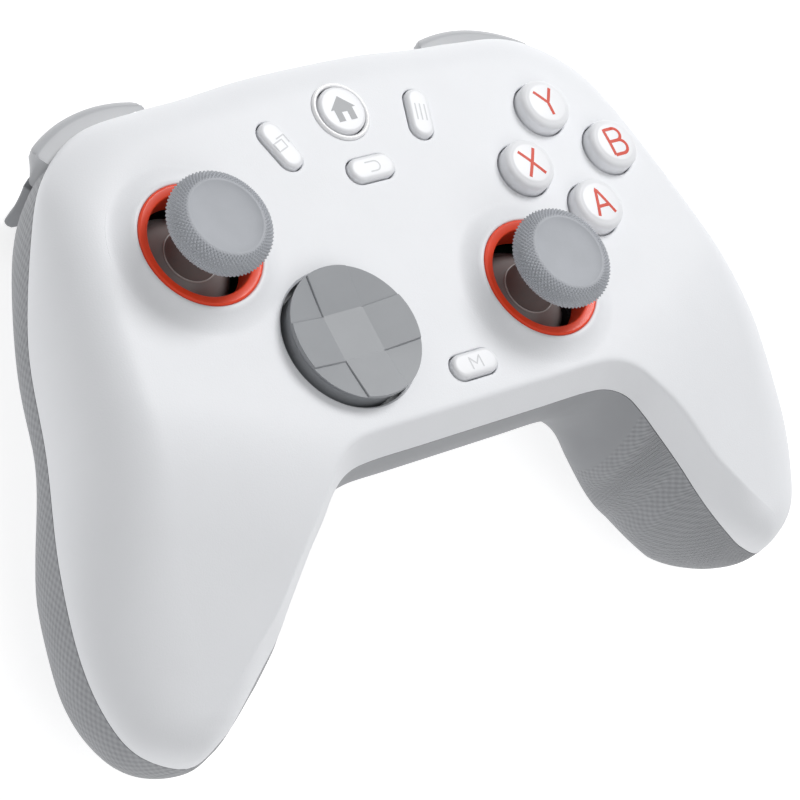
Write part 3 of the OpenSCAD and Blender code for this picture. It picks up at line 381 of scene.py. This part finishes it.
UPPER = [
    (0, TOP_EDGE, -6), (13, TOP_EDGE - 0.15, -6.3), (25, TOP_EDGE - 0.9, -7.3),
    on_shoulder(97, -RIM_DEPTH), on_shoulder(70, -RIM_DEPTH), on_shoulder(46, -RIM_DEPTH),
    on_shoulder(24, -RIM_DEPTH - 1.6), (HALF_W - 11.2, 8.4, -14.9), (HALF_W - 6.7, -9, -17.1),
    (HALF_W - 2, -25, -19.8), (HALF_W, -39, -22.8), (HALF_W - 1.3, 11 - TIP_REACH, -25.6),
    (HALF_W - 4.9, 4.1 - TIP_REACH, -27.4), (TIP_X, -TIP_REACH, -TIP_DEPTH),
]
LOWER = [
    (0, -LIP_EDGE, -LIP_DEPTH), (12.5, -LIP_EDGE, -LIP_DEPTH), (24, -LIP_EDGE, -LIP_DEPTH),
    (29, -LIP_EDGE - 0.7, -LIP_DEPTH - 0.2), (32.6, -LIP_EDGE - 2.8, -LIP_DEPTH - 0.8),
    (35.6, -34.5, -8), (38.2, -37.3, -10.1), (40.7, -40.2, -12.1), (43.7, -43.8, -14.6),
    (46.8, -47.7, -17.4), (50.5, -51.3, -20.6), (54.8, 4.6 - TIP_REACH, -23.9),
    (59.2, 1.5 - TIP_REACH, -26.9), (TIP_X, -TIP_REACH, -TIP_DEPTH),
]
LAST = len(UPPER) - 1
GROUND_TILT = math.tan(math.atan2(-press.y, -press.z))
GROUND = (place.inverted() @ Vector((0, 0, 0)))


def mix(a, b, f):
    return a + (b - a) * f


def clamp(x):
    return min(1.0, max(0.0, x))


def smooth(x):
    x = clamp(x)
    return x * x * (3 - 2 * x)


def ease(x, p):
    return (1 - (1 - clamp(x)) ** p) ** (1 / p)


def on_rail(rail, other, t):
    i = min(int(t), LAST - 1)
    f = t - i
    p = (-rail[1][0],) + tuple(rail[1][1:]) if i == 0 else rail[i - 1]
    s = other[LAST - 1] if i == LAST - 1 else rail[i + 2]
    return [0.5 * (2 * b + (c - a) * f + (2 * a - 5 * b + 4 * c - d) * f * f
                   + (3 * b - a - 3 * c + d) * f ** 3)
            for a, b, c, d in zip(p, rail[i], rail[i + 1], s)]


def grip_run(x, y):
    return 0.4 * x - 0.917 * y


def top_z(x, y):
    s = max(0.0, grip_run(x, y) - GRIP_START)
    return -GRIP_SLOPE * (s * s / (2 * GRIP_BEND) if s < GRIP_BEND else s - GRIP_BEND / 2)


def back_z(x, y):
    return -BACK_DEPTH - (GRIP_DEPTH - BACK_DEPTH) * smooth((grip_run(x, y) - DEEPEN_START) / DEEPEN_RUN)


def ground(y):
    return GROUND.z + GROUND_TILT * (y - GROUND.y)


SIDE, LEVEL, LOWSIDE = 16, 40, 12


def section(t, front, inset):
    a, b = on_rail(UPPER, LOWER, t), on_rail(LOWER, UPPER, t)
    run = (b[0] - a[0], b[1] - a[1])
    whole = math.hypot(*run)
    edge = min(inset, 0.3 * whole)
    length = whole - 2 * edge
    side = 9 + 6 * smooth((t - 2.5) / 5) if front else 17 + 4 * smooth((t - 7.5) / 2)
    low = mix(LIP_WIDTH, 7, smooth((t - 8) / 5)) if front else mix(14, 17, smooth(t / 8))
    ru, rl = min(side - 0.5 * edge, 0.58 * length), min(low - 0.1 * edge, 0.38 * length)
    middle = ((a[0] + b[0]) / 2, (a[1] + b[1]) / 2)
    near = max(0.0, math.hypot(middle[0] - TIP_X, middle[1] + TIP_REACH) - edge)
    fade = min(1.0, length / 30, near / 3)
    full_u = 0 if front else 1.1 * fade
    full_l = 0 if front else mix(1.2, 5, smooth((t - 1.5) / 3.5)) * fade
    lip_round = smooth((t - 9) / 3) if front else 1
    tip = ease(near / (6 if front else TIP_RUN), 2.1)
    steps = []
    for k in range(SIDE + 1):
        q = math.pi / 2 * k / SIDE
        steps.append((ru * (1 - math.cos(q)) - full_u * math.sin(2 * q), math.sin(q)))
    for k in range(1, LEVEL + 1):
        steps.append((mix(ru, length - rl, k / LEVEL), 1))
    for k in range(1, LOWSIDE + 1):
        q = math.pi / 2 * k / LOWSIDE
        flat = 1 - k / LOWSIDE
        steps.append((length - rl * mix(flat, 1 - math.sin(q), lip_round) + full_l * math.sin(2 * q),
                      mix(flat, math.cos(q), lip_round)))
    points = []
    for w, h in steps:
        f = (edge + w) / whole
        x, y = a[0] + run[0] * f, a[1] + run[1] * f
        part = mix(a[2], b[2], clamp(f)) + (SEAM / 2 if front else -SEAM / 2)
        rise = max(0.3, top_z(x, y) - inset - part) if front else min(-0.3, back_z(x, y) + inset - part)
        z = part + rise * h * tip
        if not front and inset == 0:
            z = max(z, ground(y))
        points.append(Vector((x, y, z)))
    # The crease over the lip is softened by a short curve
    c = SIDE + LEVEL
    before, corner, after = points[c - 1], points[c], points[c + 1]
    start = corner + (before - corner) * min(1, 0.8 / max(1e-6, (before - corner).length))
    end = corner + (after - corner) * min(1, 0.8 / max(1e-6, (after - corner).length))
    curve = [start * (1 - f) ** 2 + corner * 2 * f * (1 - f) + end * f * f for f in span(0, 1, 4)]
    return points[:c] + curve + points[c + 1:]


def tip_point(front, inset, t):
    a, b = on_rail(UPPER, LOWER, t), on_rail(LOWER, UPPER, t)
    back = 0.9 if inset > 0 else 0
    end = (TIP_X, -TIP_REACH, -TIP_DEPTH)
    p = [mix(e, (u + v) / 2, back) for e, u, v in zip(end, a, b)]
    return Vector((p[0], p[1], p[2] + (SEAM / 2 if front else -SEAM / 2)))


STATIONS = [k / 8 for k in range(89)] + [11 + k / 10 for k in range(1, 19)]


def shell(name, front):
    """One closed skin: outside, inside and the rim between them, with UVs in millimetres."""
    points, marks = [], []
    for inset in (0, WALL):
        half = [section(t, front, inset) for t in STATIONS]
        n = len(half) - 1
        tip = tip_point(front, inset, STATIONS[-1])
        rows = [[Vector((-p.x, p.y, p.z)) for p in half[i]] for i in range(n, 0, -1)] + half
        times = [STATIONS[i] for i in range(n, 0, -1)] + STATIONS
        points += [Vector((-tip.x, tip.y, tip.z))] + [p for row in rows for p in row] + [tip]
        mark = [1.0 if inset == 0 else 0.0]
        for t in times:
            mark += [smooth((t - DOTS_START) / 0.12) if inset == 0 else 0.0] * len(half[0])
        marks += mark + [mark[0]]
    row, strips = len(half[0]), 2 * n + 1
    count = 2 + strips * row
    end = count - 1

    def at(s, j):
        return 1 + s * row + j

    sheet = [(at(s, j), at(s + 1, j), at(s + 1, j + 1), at(s, j + 1))
             for s in range(strips - 1) for j in range(row - 1)]
    sheet += [(0, at(0, j), at(0, j + 1)) for j in range(row - 1)]
    sheet += [(end, at(strips - 1, j + 1), at(strips - 1, j)) for j in range(row - 1)]
    faces = sheet + [tuple(i + count for i in reversed(f)) for f in sheet]
    for j in (0, row - 1):
        ring = [0] + [at(s, j) for s in range(strips)] + [end]
        for a, b in zip(ring, ring[1:]):
            f = (a, a + count, b + count, b)
            faces.append(f if j == 0 else tuple(reversed(f)))
    mesh = mesh_of(name, points, faces)
    # Arc lengths across the skin and along it from the nearer tip, used by the dot grid
    across, along = {}, {}
    for base in (0, count):
        for s in range(strips):
            u = 0.0
            for j in range(row):
                i = base + at(s, j)
                if j:
                    u += (points[i] - points[i - 1]).length
                across[i] = u
        for start, order in ((0, range(n + 1)), (end, range(strips - 1, n, -1))):
            across[base + start], along[base + start] = 0.0, 0.0
            for j in range(row):
                run, last = 0.0, base + start
                for s in order:
                    i = base + at(s, j)
                    run += (points[i] - points[last]).length
                    along[i], last = run, i
    layer = mesh.uv_layers.new(name="mm")
    for loop in mesh.loops:
        layer.data[loop.index].uv = (across[loop.vertex_index], along[loop.vertex_index])
    mesh.attributes.new("dots", "FLOAT", "POINT").data.foreach_set("value", marks)
    obj = bpy.data.objects.new(name, mesh)
    bpy.context.scene.collection.objects.link(obj)
    finish_mesh(mesh, 35)
    return obj


def hole(r, x, y, flare=0.18, count=96):
    """Cutter for a round hole in the flat face, with a small chamfer at its mouth."""
    mouth = r + flare * 1.5
    profile = [(0, -6), (r, -6), (r, -flare), (mouth, flare * 0.5), (mouth, 4), (0, 4)]
    return turned(profile, count, centre=(x, y))


def slot_hole(length, width, x, y, angle, flare=0.15):
    """Cutter for a pill's hole, chamfered in the same way."""
    levels = [(0, -6), (0, -flare), (flare * 1.5, flare * 0.5), (flare * 1.5, 4)]
    rings = [[(px, py, z) for px, py in stadium(length + 2 * grow, width + 2 * grow)] for grow, z in levels]
    return moved(stacked(rings), spot_at(x, y, angle))


front = shell("housing_front", True)
holes = [hole(RING_R + 0.3, x, y, 0.05) for x, y in STICKS.values()]
holes += [hole(FACE_R + 0.25, x, y) for x, y in FACE.values()]
holes += [hole(HOME_R + 1.07, 0, HOME_Y, 0.1), hole(DPAD_R + 0.2, *DPAD, 0.35, 128)]
holes += [slot_hole(PILL_L + 0.5, PILL_W + 0.5, x, y, a) for x, y, a in PILLS.values()]
cut(front, solid("holes", holes))
mount(front, WHITE, "body", ["front_shell"])

back = shell("housing_back", False)
split = BUMPER_TOP + BUMPER_H + 0.4


def window(r, z0, z1, a, b):
    return swept([(r, z0), (r + 20, z0), (r + 20, z1), (r, z1)], span(a, b, 40))


openings = [window(BUMPER_IN - 2.5, -split - 0.5, -4, BUMPER_A - 3, BUMPER_B + 4),
            window(SHOULDER_R - 8.5, -40, -split, 43, BUMPER_B + 4)]
for part in openings:
    cut(back, solid("window", [part]))
    cut(back, solid("window", [mirrored(part)]))
inlet = prism(stadium(INLET_W, INLET_H), -10, 10)
facing = Matrix.Rotation(math.radians(-90), 4, "X")
inlet = moved(inlet, Matrix.Translation((0, TOP_EDGE - 1, -INLET_Z)) @ facing)
wells = [turned([(0, -32), (WELL_R, -32), (WELL_R, -20), (0, -20)], 48, centre=p) for p in SCREWS]
cut(back, solid("wells", [inlet] + wells))
mount(back, GREY, "body", ["back_shell"])

for k, p in enumerate(SCREWS):
    tube = [(WELL_R, -28.2), (WELL_R, -HEAD_SEAT), (1.3, -HEAD_SEAT), (1.3, -BOSS_SPLIT),
            (BOSS_R, -BOSS_SPLIT), (BOSS_R, -27)]
    boss = turned(tube, 48, True, p)
    mount(solid(f"screw_boss_{k}", [boss]), GREY, "body")


# Stick wells and sticks

for side, (x, y) in STICKS.items():
    rise = [(RING_R + 0.8 + (COLLAR_R - RING_R - 0.8) * f, COLLAR_H * (1 - f) ** 2) for f in span(0, 1, 20)]
    ring = [(RING_R + 0.02, -2.4), (RING_R + 0.02, COLLAR_H - 0.28)]
    ring += arc(RING_R + 0.3, COLLAR_H - 0.28, 0.28, 180, 90, 5)
    ring += arc(RING_R + 0.55, COLLAR_H - 0.25, 0.25, 90, 62, 2) + rise[1:] + [(COLLAR_R, -0.8)]
    mount(solid(f"{side}_collar", [turned(ring, 192, True, (x, y))]), WHITE, "body", sharp=50)

    inner, top = RING_R - 1.75, COLLAR_H
    band = [(inner, -3.2), (inner, top - 0.42), (inner + 0.05, top - 0.26), (inner + 0.2, top - 0.08),
            (inner + 0.4, top), (RING_R - 0.55, top + 0.17), (RING_R - 0.35, top + 0.19),
            (RING_R - 0.12, top + 0.1), (RING_R - 0.02, top - 0.06), (RING_R - 0.02, -2.2),
            (RING_R + 1.3, -2.2), (RING_R + 1.3, -3.2)]
    mount(solid(f"{side}_ring", [turned(band, 192, True, (x, y))]), ORANGE, "body",
          [f"{side}_stick_ring"], sharp=25)

    seat = math.sqrt(DOME_R ** 2 - NECK_R ** 2) - PIVOT
    neck_top = CAP_TOP - CAP_THICK
    dome = [(DOME_R * math.sin(a), DOME_R * math.cos(a) - PIVOT)
            for a in [math.radians(q) for q in span(DOME_EDGE, math.degrees(math.asin(NECK_R / DOME_R)), 24)]]
    lining = [((DOME_R - 1.2) * math.sin(a), (DOME_R - 1.2) * math.cos(a) - PIVOT)
              for a in [math.radians(q) for q in span(12, DOME_EDGE, 16)]]
    stalk = [(0, -PIVOT - 1.8), (1.9, -PIVOT - 1.8), (1.9, lining[0][1])] + lining + dome
    stalk += [(NECK_R - 0.02, seat + 0.3), (NECK_R - 0.8, neck_top + 0.4), (0, neck_top + 0.4)]
    pin = moved(turned([(0, -4.3), (1, -4.3), (1, 4.3), (0, 4.3)], 32),
                Matrix.Translation((x, y, -PIVOT)) @ Matrix.Rotation(math.radians(90), 4, "X"))
    post = solid(f"{side}_stalk", [turned(stalk, 128, centre=(x, y)), pin])
    mount(post, STALK, f"{side}_stick", [f"{side}_stick_stalk"])
    line = arc(NECK_R + 0.06, seat + 0.1, 0.14, 0, 330, 11)
    bead = solid(f"{side}_neck_line", [turned(line, 128, True, (x, y))])
    mount(bead, COLLAR_LINE, f"{side}_stick", sharp=60)

    # Thumb cap: diamond knurl over the rim, smooth sunk dish
    edge = CAP_THICK * 0.45
    cx, cz = CAP_R - edge, CAP_TOP - edge - 0.3
    profile = [(0, neck_top), (NECK_R + 0.1, neck_top)]
    first = len(profile)
    profile += arc(cx, cz, edge, -58, 90, 72)
    last = len(profile) - 1
    profile += [(6.42, CAP_TOP - 0.3), (6.3, CAP_TOP - 0.36), (6.15, CAP_TOP - 0.44), (5.2, CAP_TOP - 0.66),
                (4, CAP_TOP - 0.84), (2.6, CAP_TOP - 0.97), (1.2, CAP_TOP - 1.03), (0, CAP_TOP - 1.05)]

    def knurl(k, a, r, z):
        if not first < k < last:
            return r, z
        f = (k - first) / (last - first)
        q = math.radians(-58 + 148 * f)
        run = edge * math.radians(148) * f / 0.78
        beats = 72 * a / (2 * math.pi)
        height = min(abs((beats + run) % 1 - 0.5), abs((beats - run) % 1 - 0.5)) * 2
        fade = min(1, 8 * f, 10 * (1 - f))
        lift = fade * (0.34 * height - 0.16)
        return r + lift * math.cos(q), z + lift * math.sin(q)

    cap = solid(f"{side}_cap", [turned(profile, 720, centre=(x, y), shape=knurl)])
    mount(cap, RUBBER, f"{side}_stick", [f"{side}_stick_cap"], sharp=60)


# Direction pad

def pad_height(v):
    """Top of a bar: a flat middle square and arms that rise outward."""
    h = DPAD_ARM / 2
    return DPAD_MID + (DPAD_TOP - DPAD_MID) * clamp((abs(v) - h) / (DPAD_R - h))


def pad_bar(sink):
    """A bar across the pad with fine chamfers along its top edges."""
    h, far, chamfer = DPAD_ARM / 2, DPAD_R + 1, 0.14
    rings = []
    for v in (-far, -h, h, far):
        z = pad_height(v) - sink
        half = [(h - chamfer, z), (h, z - chamfer), (h, -1)]
        rings.append([(v, -y, z) for y, z in reversed(half)] + [(v, y, z) for y, z in half])
    return stacked(rings)


neck, brim = DPAD_R - 0.6, DPAD_TOP - 0.8
bowl = [(0, -2.2), (DPAD_R, -2.2), (DPAD_R, brim + 0.2), (DPAD_ARM / 2, DPAD_MID - 0.5), (0, DPAD_MID - 0.5)]
pad = solid("direction_pad", [turned(bowl, 192)])
for turn, sink in ((0, 0), (90, 0.004)):
    bar = moved(pad_bar(sink), Matrix.Rotation(math.radians(turn), 4, "Z"))
    cut(pad, solid("bar", [bar]), "UNION")
keep = [(0, -9), (neck, -9), (neck, brim - 1.1), (DPAD_R - 0.08, brim - 0.12), (DPAD_R, brim + 0.06),
        (DPAD_R - 0.04, brim + 0.2), (DPAD_R - 0.3, DPAD_TOP + 0.1), (0, DPAD_TOP + 0.1)]
cut(pad, solid("keep", [turned(keep, 192)]), "INTERSECT")
mount(pad, PAD, "dpad_plate", ["dpad"], sharp=6, at=Matrix.Translation((*DPAD, 0)))
skirt = [(6.5, -5), (neck + 1.4, -5), (neck + 1.4, -4), (neck - 0.05, -4), (neck - 0.05, -2.1), (6.5, -2.1)]
under = solid("direction_pad_skirt", [turned(skirt, 128, True)])
mount(under, PAD, "dpad_plate", at=Matrix.Translation((*DPAD, 0)))


# Buttons and their marks

def button_top(r):
    return FACE_TOP - 0.06 * (r / (FACE_R * 0.5)) ** 2


def ribbon(points, width, height, sink=0.12):
    """A flat stroke that follows a button's top."""
    fine = []
    for a, b in zip(points, points[1:]):
        steps = max(1, int(math.dist(a, b) / 0.35))
        fine += [(mix(a[0], b[0], k / steps), mix(a[1], b[1], k / steps)) for k in range(steps)]
    fine.append(points[-1])
    verts, faces = [], []
    for i, (x, y) in enumerate(fine):
        a, b = fine[max(0, i - 1)], fine[min(len(fine) - 1, i + 1)]
        if points[0] == points[-1] and i in (0, len(fine) - 1):
            a, b = fine[-2], fine[1]
        d = math.hypot(b[0] - a[0], b[1] - a[1])
        nx, ny = -(b[1] - a[1]) / d * width / 2, (b[0] - a[0]) / d * width / 2
        for s in (1, -1):
            px, py = x + s * nx, y + s * ny
            z = height(math.hypot(px, py))
            verts += [(px, py, z), (px, py, z - sink)]
    for i in range(len(fine) - 1):
        k, m = 4 * i, 4 * i + 4
        faces += [(k, k + 2, m + 2, m), (k + 1, m + 1, m + 3, k + 3)]
        faces += [(k, m, m + 1, k + 1), (k + 2, k + 3, m + 3, m + 2)]
    e = 4 * (len(fine) - 1)
    if points[0] != points[-1]:
        faces += [(0, 1, 3, 2), (e, e + 2, e + 3, e + 1)]
    return verts, faces


def bow(cx, cy, rx, ry, a, b, n=14):
    return [(cx + rx * math.cos(math.radians(q)), cy + ry * math.sin(math.radians(q))) for q in span(a, b, n)]


MARKS = {
    "a": [[(-1.75, -2.3), (0, 2.3), (1.75, -2.3)], [(-1.15, -0.75), (1.15, -0.75)]],
    "b": [[(-1.4, -2.3), (-1.4, 2.3), (0.35, 2.3)] + bow(0.35, 1.2, 1.1, 1.1, 90, -90) + [(-1.4, 0.1)],
          [(0.35, 0.1)] + bow(0.45, -1.1, 1.25, 1.2, 90, -90) + [(-1.4, -2.3)]],
    "x": [[(-1.65, -2.3), (1.65, 2.3)], [(-1.65, 2.3), (1.65, -2.3)]],
    "y": [[(-1.75, 2.3), (0, -0.1), (1.75, 2.3)], [(0, -0.1), (0, -2.3)]],
}
MARK_SCALE, MARK_STROKE = 1.08, 0.6
for key, (x, y) in FACE.items():
    profile = [(0, -11), (2.2, -11), (2.2, -3.7), (FACE_R + 0.9, -3.7), (FACE_R + 0.9, -2.5), (FACE_R, -2.5)]
    profile += arc(FACE_R - 1.1, FACE_TOP - 1.35, 1.1, 0, 90, 12)[:-1]
    profile += [(r, button_top(r)) for r in span(FACE_R - 1.15, 0, 12)]
    button = solid(f"face_button_{key}", [turned(profile, 128, centre=(x, y))])
    mount(button, BUTTON, f"button_{key}", [f"button_{key}"], sharp=40)
    strokes = []
    for k, stroke in enumerate(MARKS[key]):
        path = [(MARK_SCALE * u, MARK_SCALE * v) for u, v in stroke]
        strokes.append(ribbon(path, MARK_STROKE, lambda r, k=k: button_top(r) + 0.02 + 0.004 * k))
    mount(solid(f"mark_{key}", strokes), LETTER, f"button_{key}", at=spot_at(x, y, 0))

home = [(0, -11), (2.2, -11), (2.2, -3.7), (HOME_R + 0.9, -3.7), (HOME_R + 0.9, -2.5), (HOME_R, -2.5)]
home += arc(HOME_R - 0.6, PILL_TOP - 0.6, 0.6, 0, 90, 10) + [(2, PILL_TOP + 0.02), (0, PILL_TOP + 0.02)]
home_cap = solid("home_cap", [turned(home, 128, centre=(0, HOME_Y))])
mount(home_cap, BUTTON, "home_button", ["home_button"], sharp=40)
glow = [(HOME_R + 0.25, -2.2), (HOME_R + 0.25, 0.12)] + arc(HOME_R + 0.65, 0.12, 0.4, 180, 0, 10)
glow += [(HOME_R + 1.05, 0.1), (HOME_R + 1.05, -2.2)]
halo = solid("home_halo", [turned(glow, 160, True, (0, HOME_Y))])
mount(halo, GUIDE, "body", ["home_ring"], sharp=45)
house = [(-2.6, 0.1), (0, 2.5), (2.6, 0.1), (1.9, 0.1), (1.9, -2.2), (0.6, -2.2), (0.6, -0.5),
         (-0.6, -0.5), (-0.6, -2.2), (-1.9, -2.2), (-1.9, 0.1)]
emblem = prism(house, PILL_TOP - 0.1, PILL_TOP + 0.05)
mount(solid("home_mark", [emblem]), ICON, "home_button", at=Matrix.Translation((0, HOME_Y, 0)))

SIGNS = {
    "view": [[(-1.5, -0.9), (0.5, -0.9), (0.5, 0.7), (-1.5, 0.7), (-1.5, -0.9)],
             [(-0.4, 1.2), (1.5, 1.2), (1.5, -0.4)]],
    "menu": [[(-1.6, 0.9), (1.6, 0.9)], [(-1.6, 0), (1.6, 0)], [(-1.6, -0.9), (1.6, -0.9)]],
    "share": [bow(0.4, 0, 1.0, 0.9, -90, 90, 10) + [(-1.4, 0.9)], [(0.4, -0.9), (-0.9, -0.9)]],
    "mode": [[(-1.1, -1.1), (-1.1, 1.1), (0, -0.3), (1.1, 1.1), (1.1, -1.1)]],
}
PILL_ROUND, SIGN_STROKE = 0.75, 0.26
for key, (x, y, a) in PILLS.items():
    levels = [(0, -2.5), (0, PILL_TOP - PILL_ROUND)]
    levels += [(PILL_ROUND * (1 - math.cos(q)), PILL_TOP - PILL_ROUND * (1 - math.sin(q)))
               for q in [math.radians(v) for v in span(0, 90, 8)]][1:]
    levels += [(1.2, PILL_TOP + 0.01)]
    crown = stacked([[(px, py, z) for px, py in stadium(PILL_L - 2 * inset, PILL_W - 2 * inset)]
                     for inset, z in levels])
    keeper = prism(stadium(PILL_L + 1.8, PILL_W + 1.8), -3.7, -2.45)
    stem = turned([(0, -13), (1.6, -13), (1.6, -3.6), (0, -3.6)], 32)
    pill = solid(f"{key}_cap", [crown, keeper, stem])
    mount(pill, BUTTON, f"{key}_button", [f"{key}_button"], sharp=40, at=spot_at(x, y, a))
    upright = spot_at(x, y, a - 90 if key == "view" else a)
    strokes = [ribbon(s, SIGN_STROKE, lambda r, k=k: PILL_TOP + 0.02 + 0.003 * k)
               for k, s in enumerate(SIGNS[key])]
    mount(solid(f"{key}_mark", strokes), FAINT, f"{key}_button", at=upright)


# Bumpers and triggers

def bumper_limit(a):
    """Rounded outer corners of a bumper, seen from above."""
    c, r = BUMPER_CORNER, BUMPER_R + 0.1
    d = math.degrees(math.asin(c / (r - c)))
    best = r
    for mid, sign in ((BUMPER_A + d, 1), (BUMPER_B - d, -1)):
        off = (a - mid) * sign
        if off < 0:
            q = math.radians(off)
            under = c * c - ((r - c) * math.sin(q)) ** 2
            best = min(best, (r - c) * math.cos(q) + math.sqrt(max(0.0, under)))
    return best


low, top = -BUMPER_TOP - BUMPER_H, -BUMPER_TOP
grip_face = [(BUMPER_IN, low), (SHOULDER_R + 0.1, low), (SHOULDER_R + 0.35, low + 0.1),
             (SHOULDER_R + 0.9, low + 0.8), (BUMPER_R - 0.36, top - 2.2), (BUMPER_R - 0.12, top - 1.5),
             (BUMPER_R, top - 1.15), (BUMPER_R - 0.1, top - 0.85), (BUMPER_R - 0.45, top - 0.48),
             (BUMPER_R - 1.1, top - 0.1), (BUMPER_R - 1.5, top), (BUMPER_IN, top)]
ends = [1 - math.cos(math.radians(q)) for q in span(0, 90, 12)]
angles = [BUMPER_A + 9 * e for e in ends] + span(BUMPER_A + 9, BUMPER_B - 9, 28)[1:-1]
angles += [BUMPER_B - 9 * e for e in reversed(ends)]
lug = [(0, low + 0.2), (BUMPER_LUG, low + 0.2), (BUMPER_LUG, top - 0.2), (0, top - 0.2)]
lug = turned(lug, 48, centre=BUMPER_PIN)
finger = [(SHOULDER_R - 2.4, -BUMPER_TOP - BUMPER_H - 0.5), (SHOULDER_R - 2.4, -TRIGGER_LOW + 1.4),
          (SHOULDER_R - 1.7, -TRIGGER_LOW + 0.2)]
finger += arc(SHOULDER_R - 1, -TRIGGER_LOW + 1, 1, -90, 10, 8)
finger += [(SHOULDER_R + 1.1 * f * f, -TRIGGER_LOW + 1.4 + (TRIGGER_H - 1.4) * f) for f in span(0, 1, 12)][1:]


def cheek(x):
    d = max(x + CHEEK_W - SHOULDER[0], SHOULDER[0] - x)
    reach = SHOULDER[1] + math.sqrt((SHOULDER_R - 1.6) ** 2 - d * d)
    head = -BUMPER_TOP - BUMPER_H - 0.5
    back_arc = [(TRIGGER_Y + 3.25 * math.cos(a), -TRIGGER_Z + 3.25 * math.sin(a))
                for a in [math.radians(q) for q in span(270, 90, 14)]]
    outline = back_arc + [(TRIGGER_Y + 2, head), (reach, head), (reach, -TRIGGER_LOW + 3.6)]
    verts, faces = prism(outline, x, x + CHEEK_W)
    return [(z, px, py) for px, py, z in verts], faces


for side in ("right", "left"):
    flip = mirrored if side == "left" else (lambda part: part)
    bumper = solid(f"{side}_bumper_cap", [flip(swept(grip_face, angles, bumper_limit))])
    cut(bumper, solid("lug", [flip(lug)]), "UNION")
    mount(bumper, LIGHT, f"{side}_bumper", [f"{side}_bumper"], sharp=35)
    lever = solid(f"{side}_trigger_lever", [flip(swept(finger, span(TRIGGER_A, TRIGGER_B, 40)))])
    bevel(lever, 0.3, 3, 50)
    mount(lever, TRIGGER, f"{side}_trigger", [f"{side}_trigger"], sharp=35)
    cheeks = solid(f"{side}_trigger_cheeks", [flip(cheek(x)) for x in CHEEKS])
    bore = turned([(0, -60), (TRIGGER_BORE, -60), (TRIGGER_BORE, 60), (0, 60)], 32)
    across = Matrix.Translation((42, TRIGGER_Y, -TRIGGER_Z)) @ Matrix.Rotation(math.radians(90), 4, "Y")
    cut(cheeks, solid("bore", [flip(moved(bore, across))]))
    mount(cheeks, TRIGGER, f"{side}_trigger")


# Small fasteners on the back

for k, (x, y) in enumerate(SCREWS):
    head = [(0, -25.9), (1.5, -25.86), (1.9, -25.7), (HEAD_R, -25.4), (HEAD_R, -HEAD_SEAT),
            (1.2, -HEAD_SEAT), (1.2, -5.3), (0, -5.3)]
    screw = solid(f"shell_screw_{k}", [turned(head, 64, centre=(x, y))])
    blade = prism([(-1.3, -0.26), (1.3, -0.26), (1.3, 0.26), (-1.3, 0.26)], -27, -25)
    for turn in (0, 90):
        cut(screw, solid("blade", [moved(blade, spot_at(x, y, turn))]))
    mount(screw, STEEL, "body", ["shell_screws"] if k == 0 else ())


# Stage, light and camera

floor_mesh = mesh_of("floor", [(-3, -3, 0), (3, -3, 0), (3, 3, 0), (-3, 3, 0)], [(0, 1, 2, 3)])
floor = bpy.data.objects.new("floor", floor_mesh)
bpy.context.scene.collection.objects.link(floor)
floor_look = material("floor", (0.55, 0.55, 0.553), 0.65, 0.004, 6, 400, 0.02)
floor_mesh.materials.append(floor_look)
floor_look.node_tree.nodes["Principled BSDF"].inputs["Emission Color"].default_value = (1, 1, 1, 1)
floor_look.node_tree.nodes["Principled BSDF"].inputs["Emission Strength"].default_value = 0.75

world = bpy.data.worlds.new("studio")
bpy.context.scene.world = world
world.use_nodes = True
world.node_tree.nodes["Background"].inputs["Color"].default_value = (1, 1, 1, 1)
world.node_tree.nodes["Background"].inputs["Strength"].default_value = 0.36


def lamp(name, spot, aim, size, power):
    light = bpy.data.lights.new(name, "AREA")
    light.shape = "DISK"
    light.size = size
    light.energy = power
    obj = bpy.data.objects.new(name, light)
    obj.location = spot
    obj.rotation_euler = (Vector(aim) - Vector(spot)).to_track_quat("-Z", "Y").to_euler()
    bpy.context.scene.collection.objects.link(obj)


lamp("key", (0.55, 0.55, 0.75), (0, 0, 0.03), 0.45, 6.2)
lamp("fill", (-0.1, -0.5, 1.0), (0, 0, 0.03), 0.9, 3.0)

R = [(0.74988, -0.44888, 0.48599), (-0.2289, -0.86527, -0.446), (0.62071, 0.2232, -0.7516)]
axes = [(tilt @ Vector(v)).normalized() for v in (R[0], [-c for c in R[1]], [-c for c in R[2]])]
spot = place @ Vector((-332.75, -135.23, 382.19))
camera_data = bpy.data.cameras.new("camera")
camera_data.sensor_fit = "HORIZONTAL"
camera_data.sensor_width = 36
camera_data.lens = 144
camera = bpy.data.objects.new("camera", camera_data)
pose = Matrix((axes[0], axes[1], axes[2])).transposed().to_4x4()
camera.matrix_world = Matrix.Translation(spot) @ pose
bpy.context.scene.collection.objects.link(camera)
bpy.context.scene.camera = camera

bpy.context.scene.view_settings.view_transform = "Standard"
bpy.context.view_layer.update()
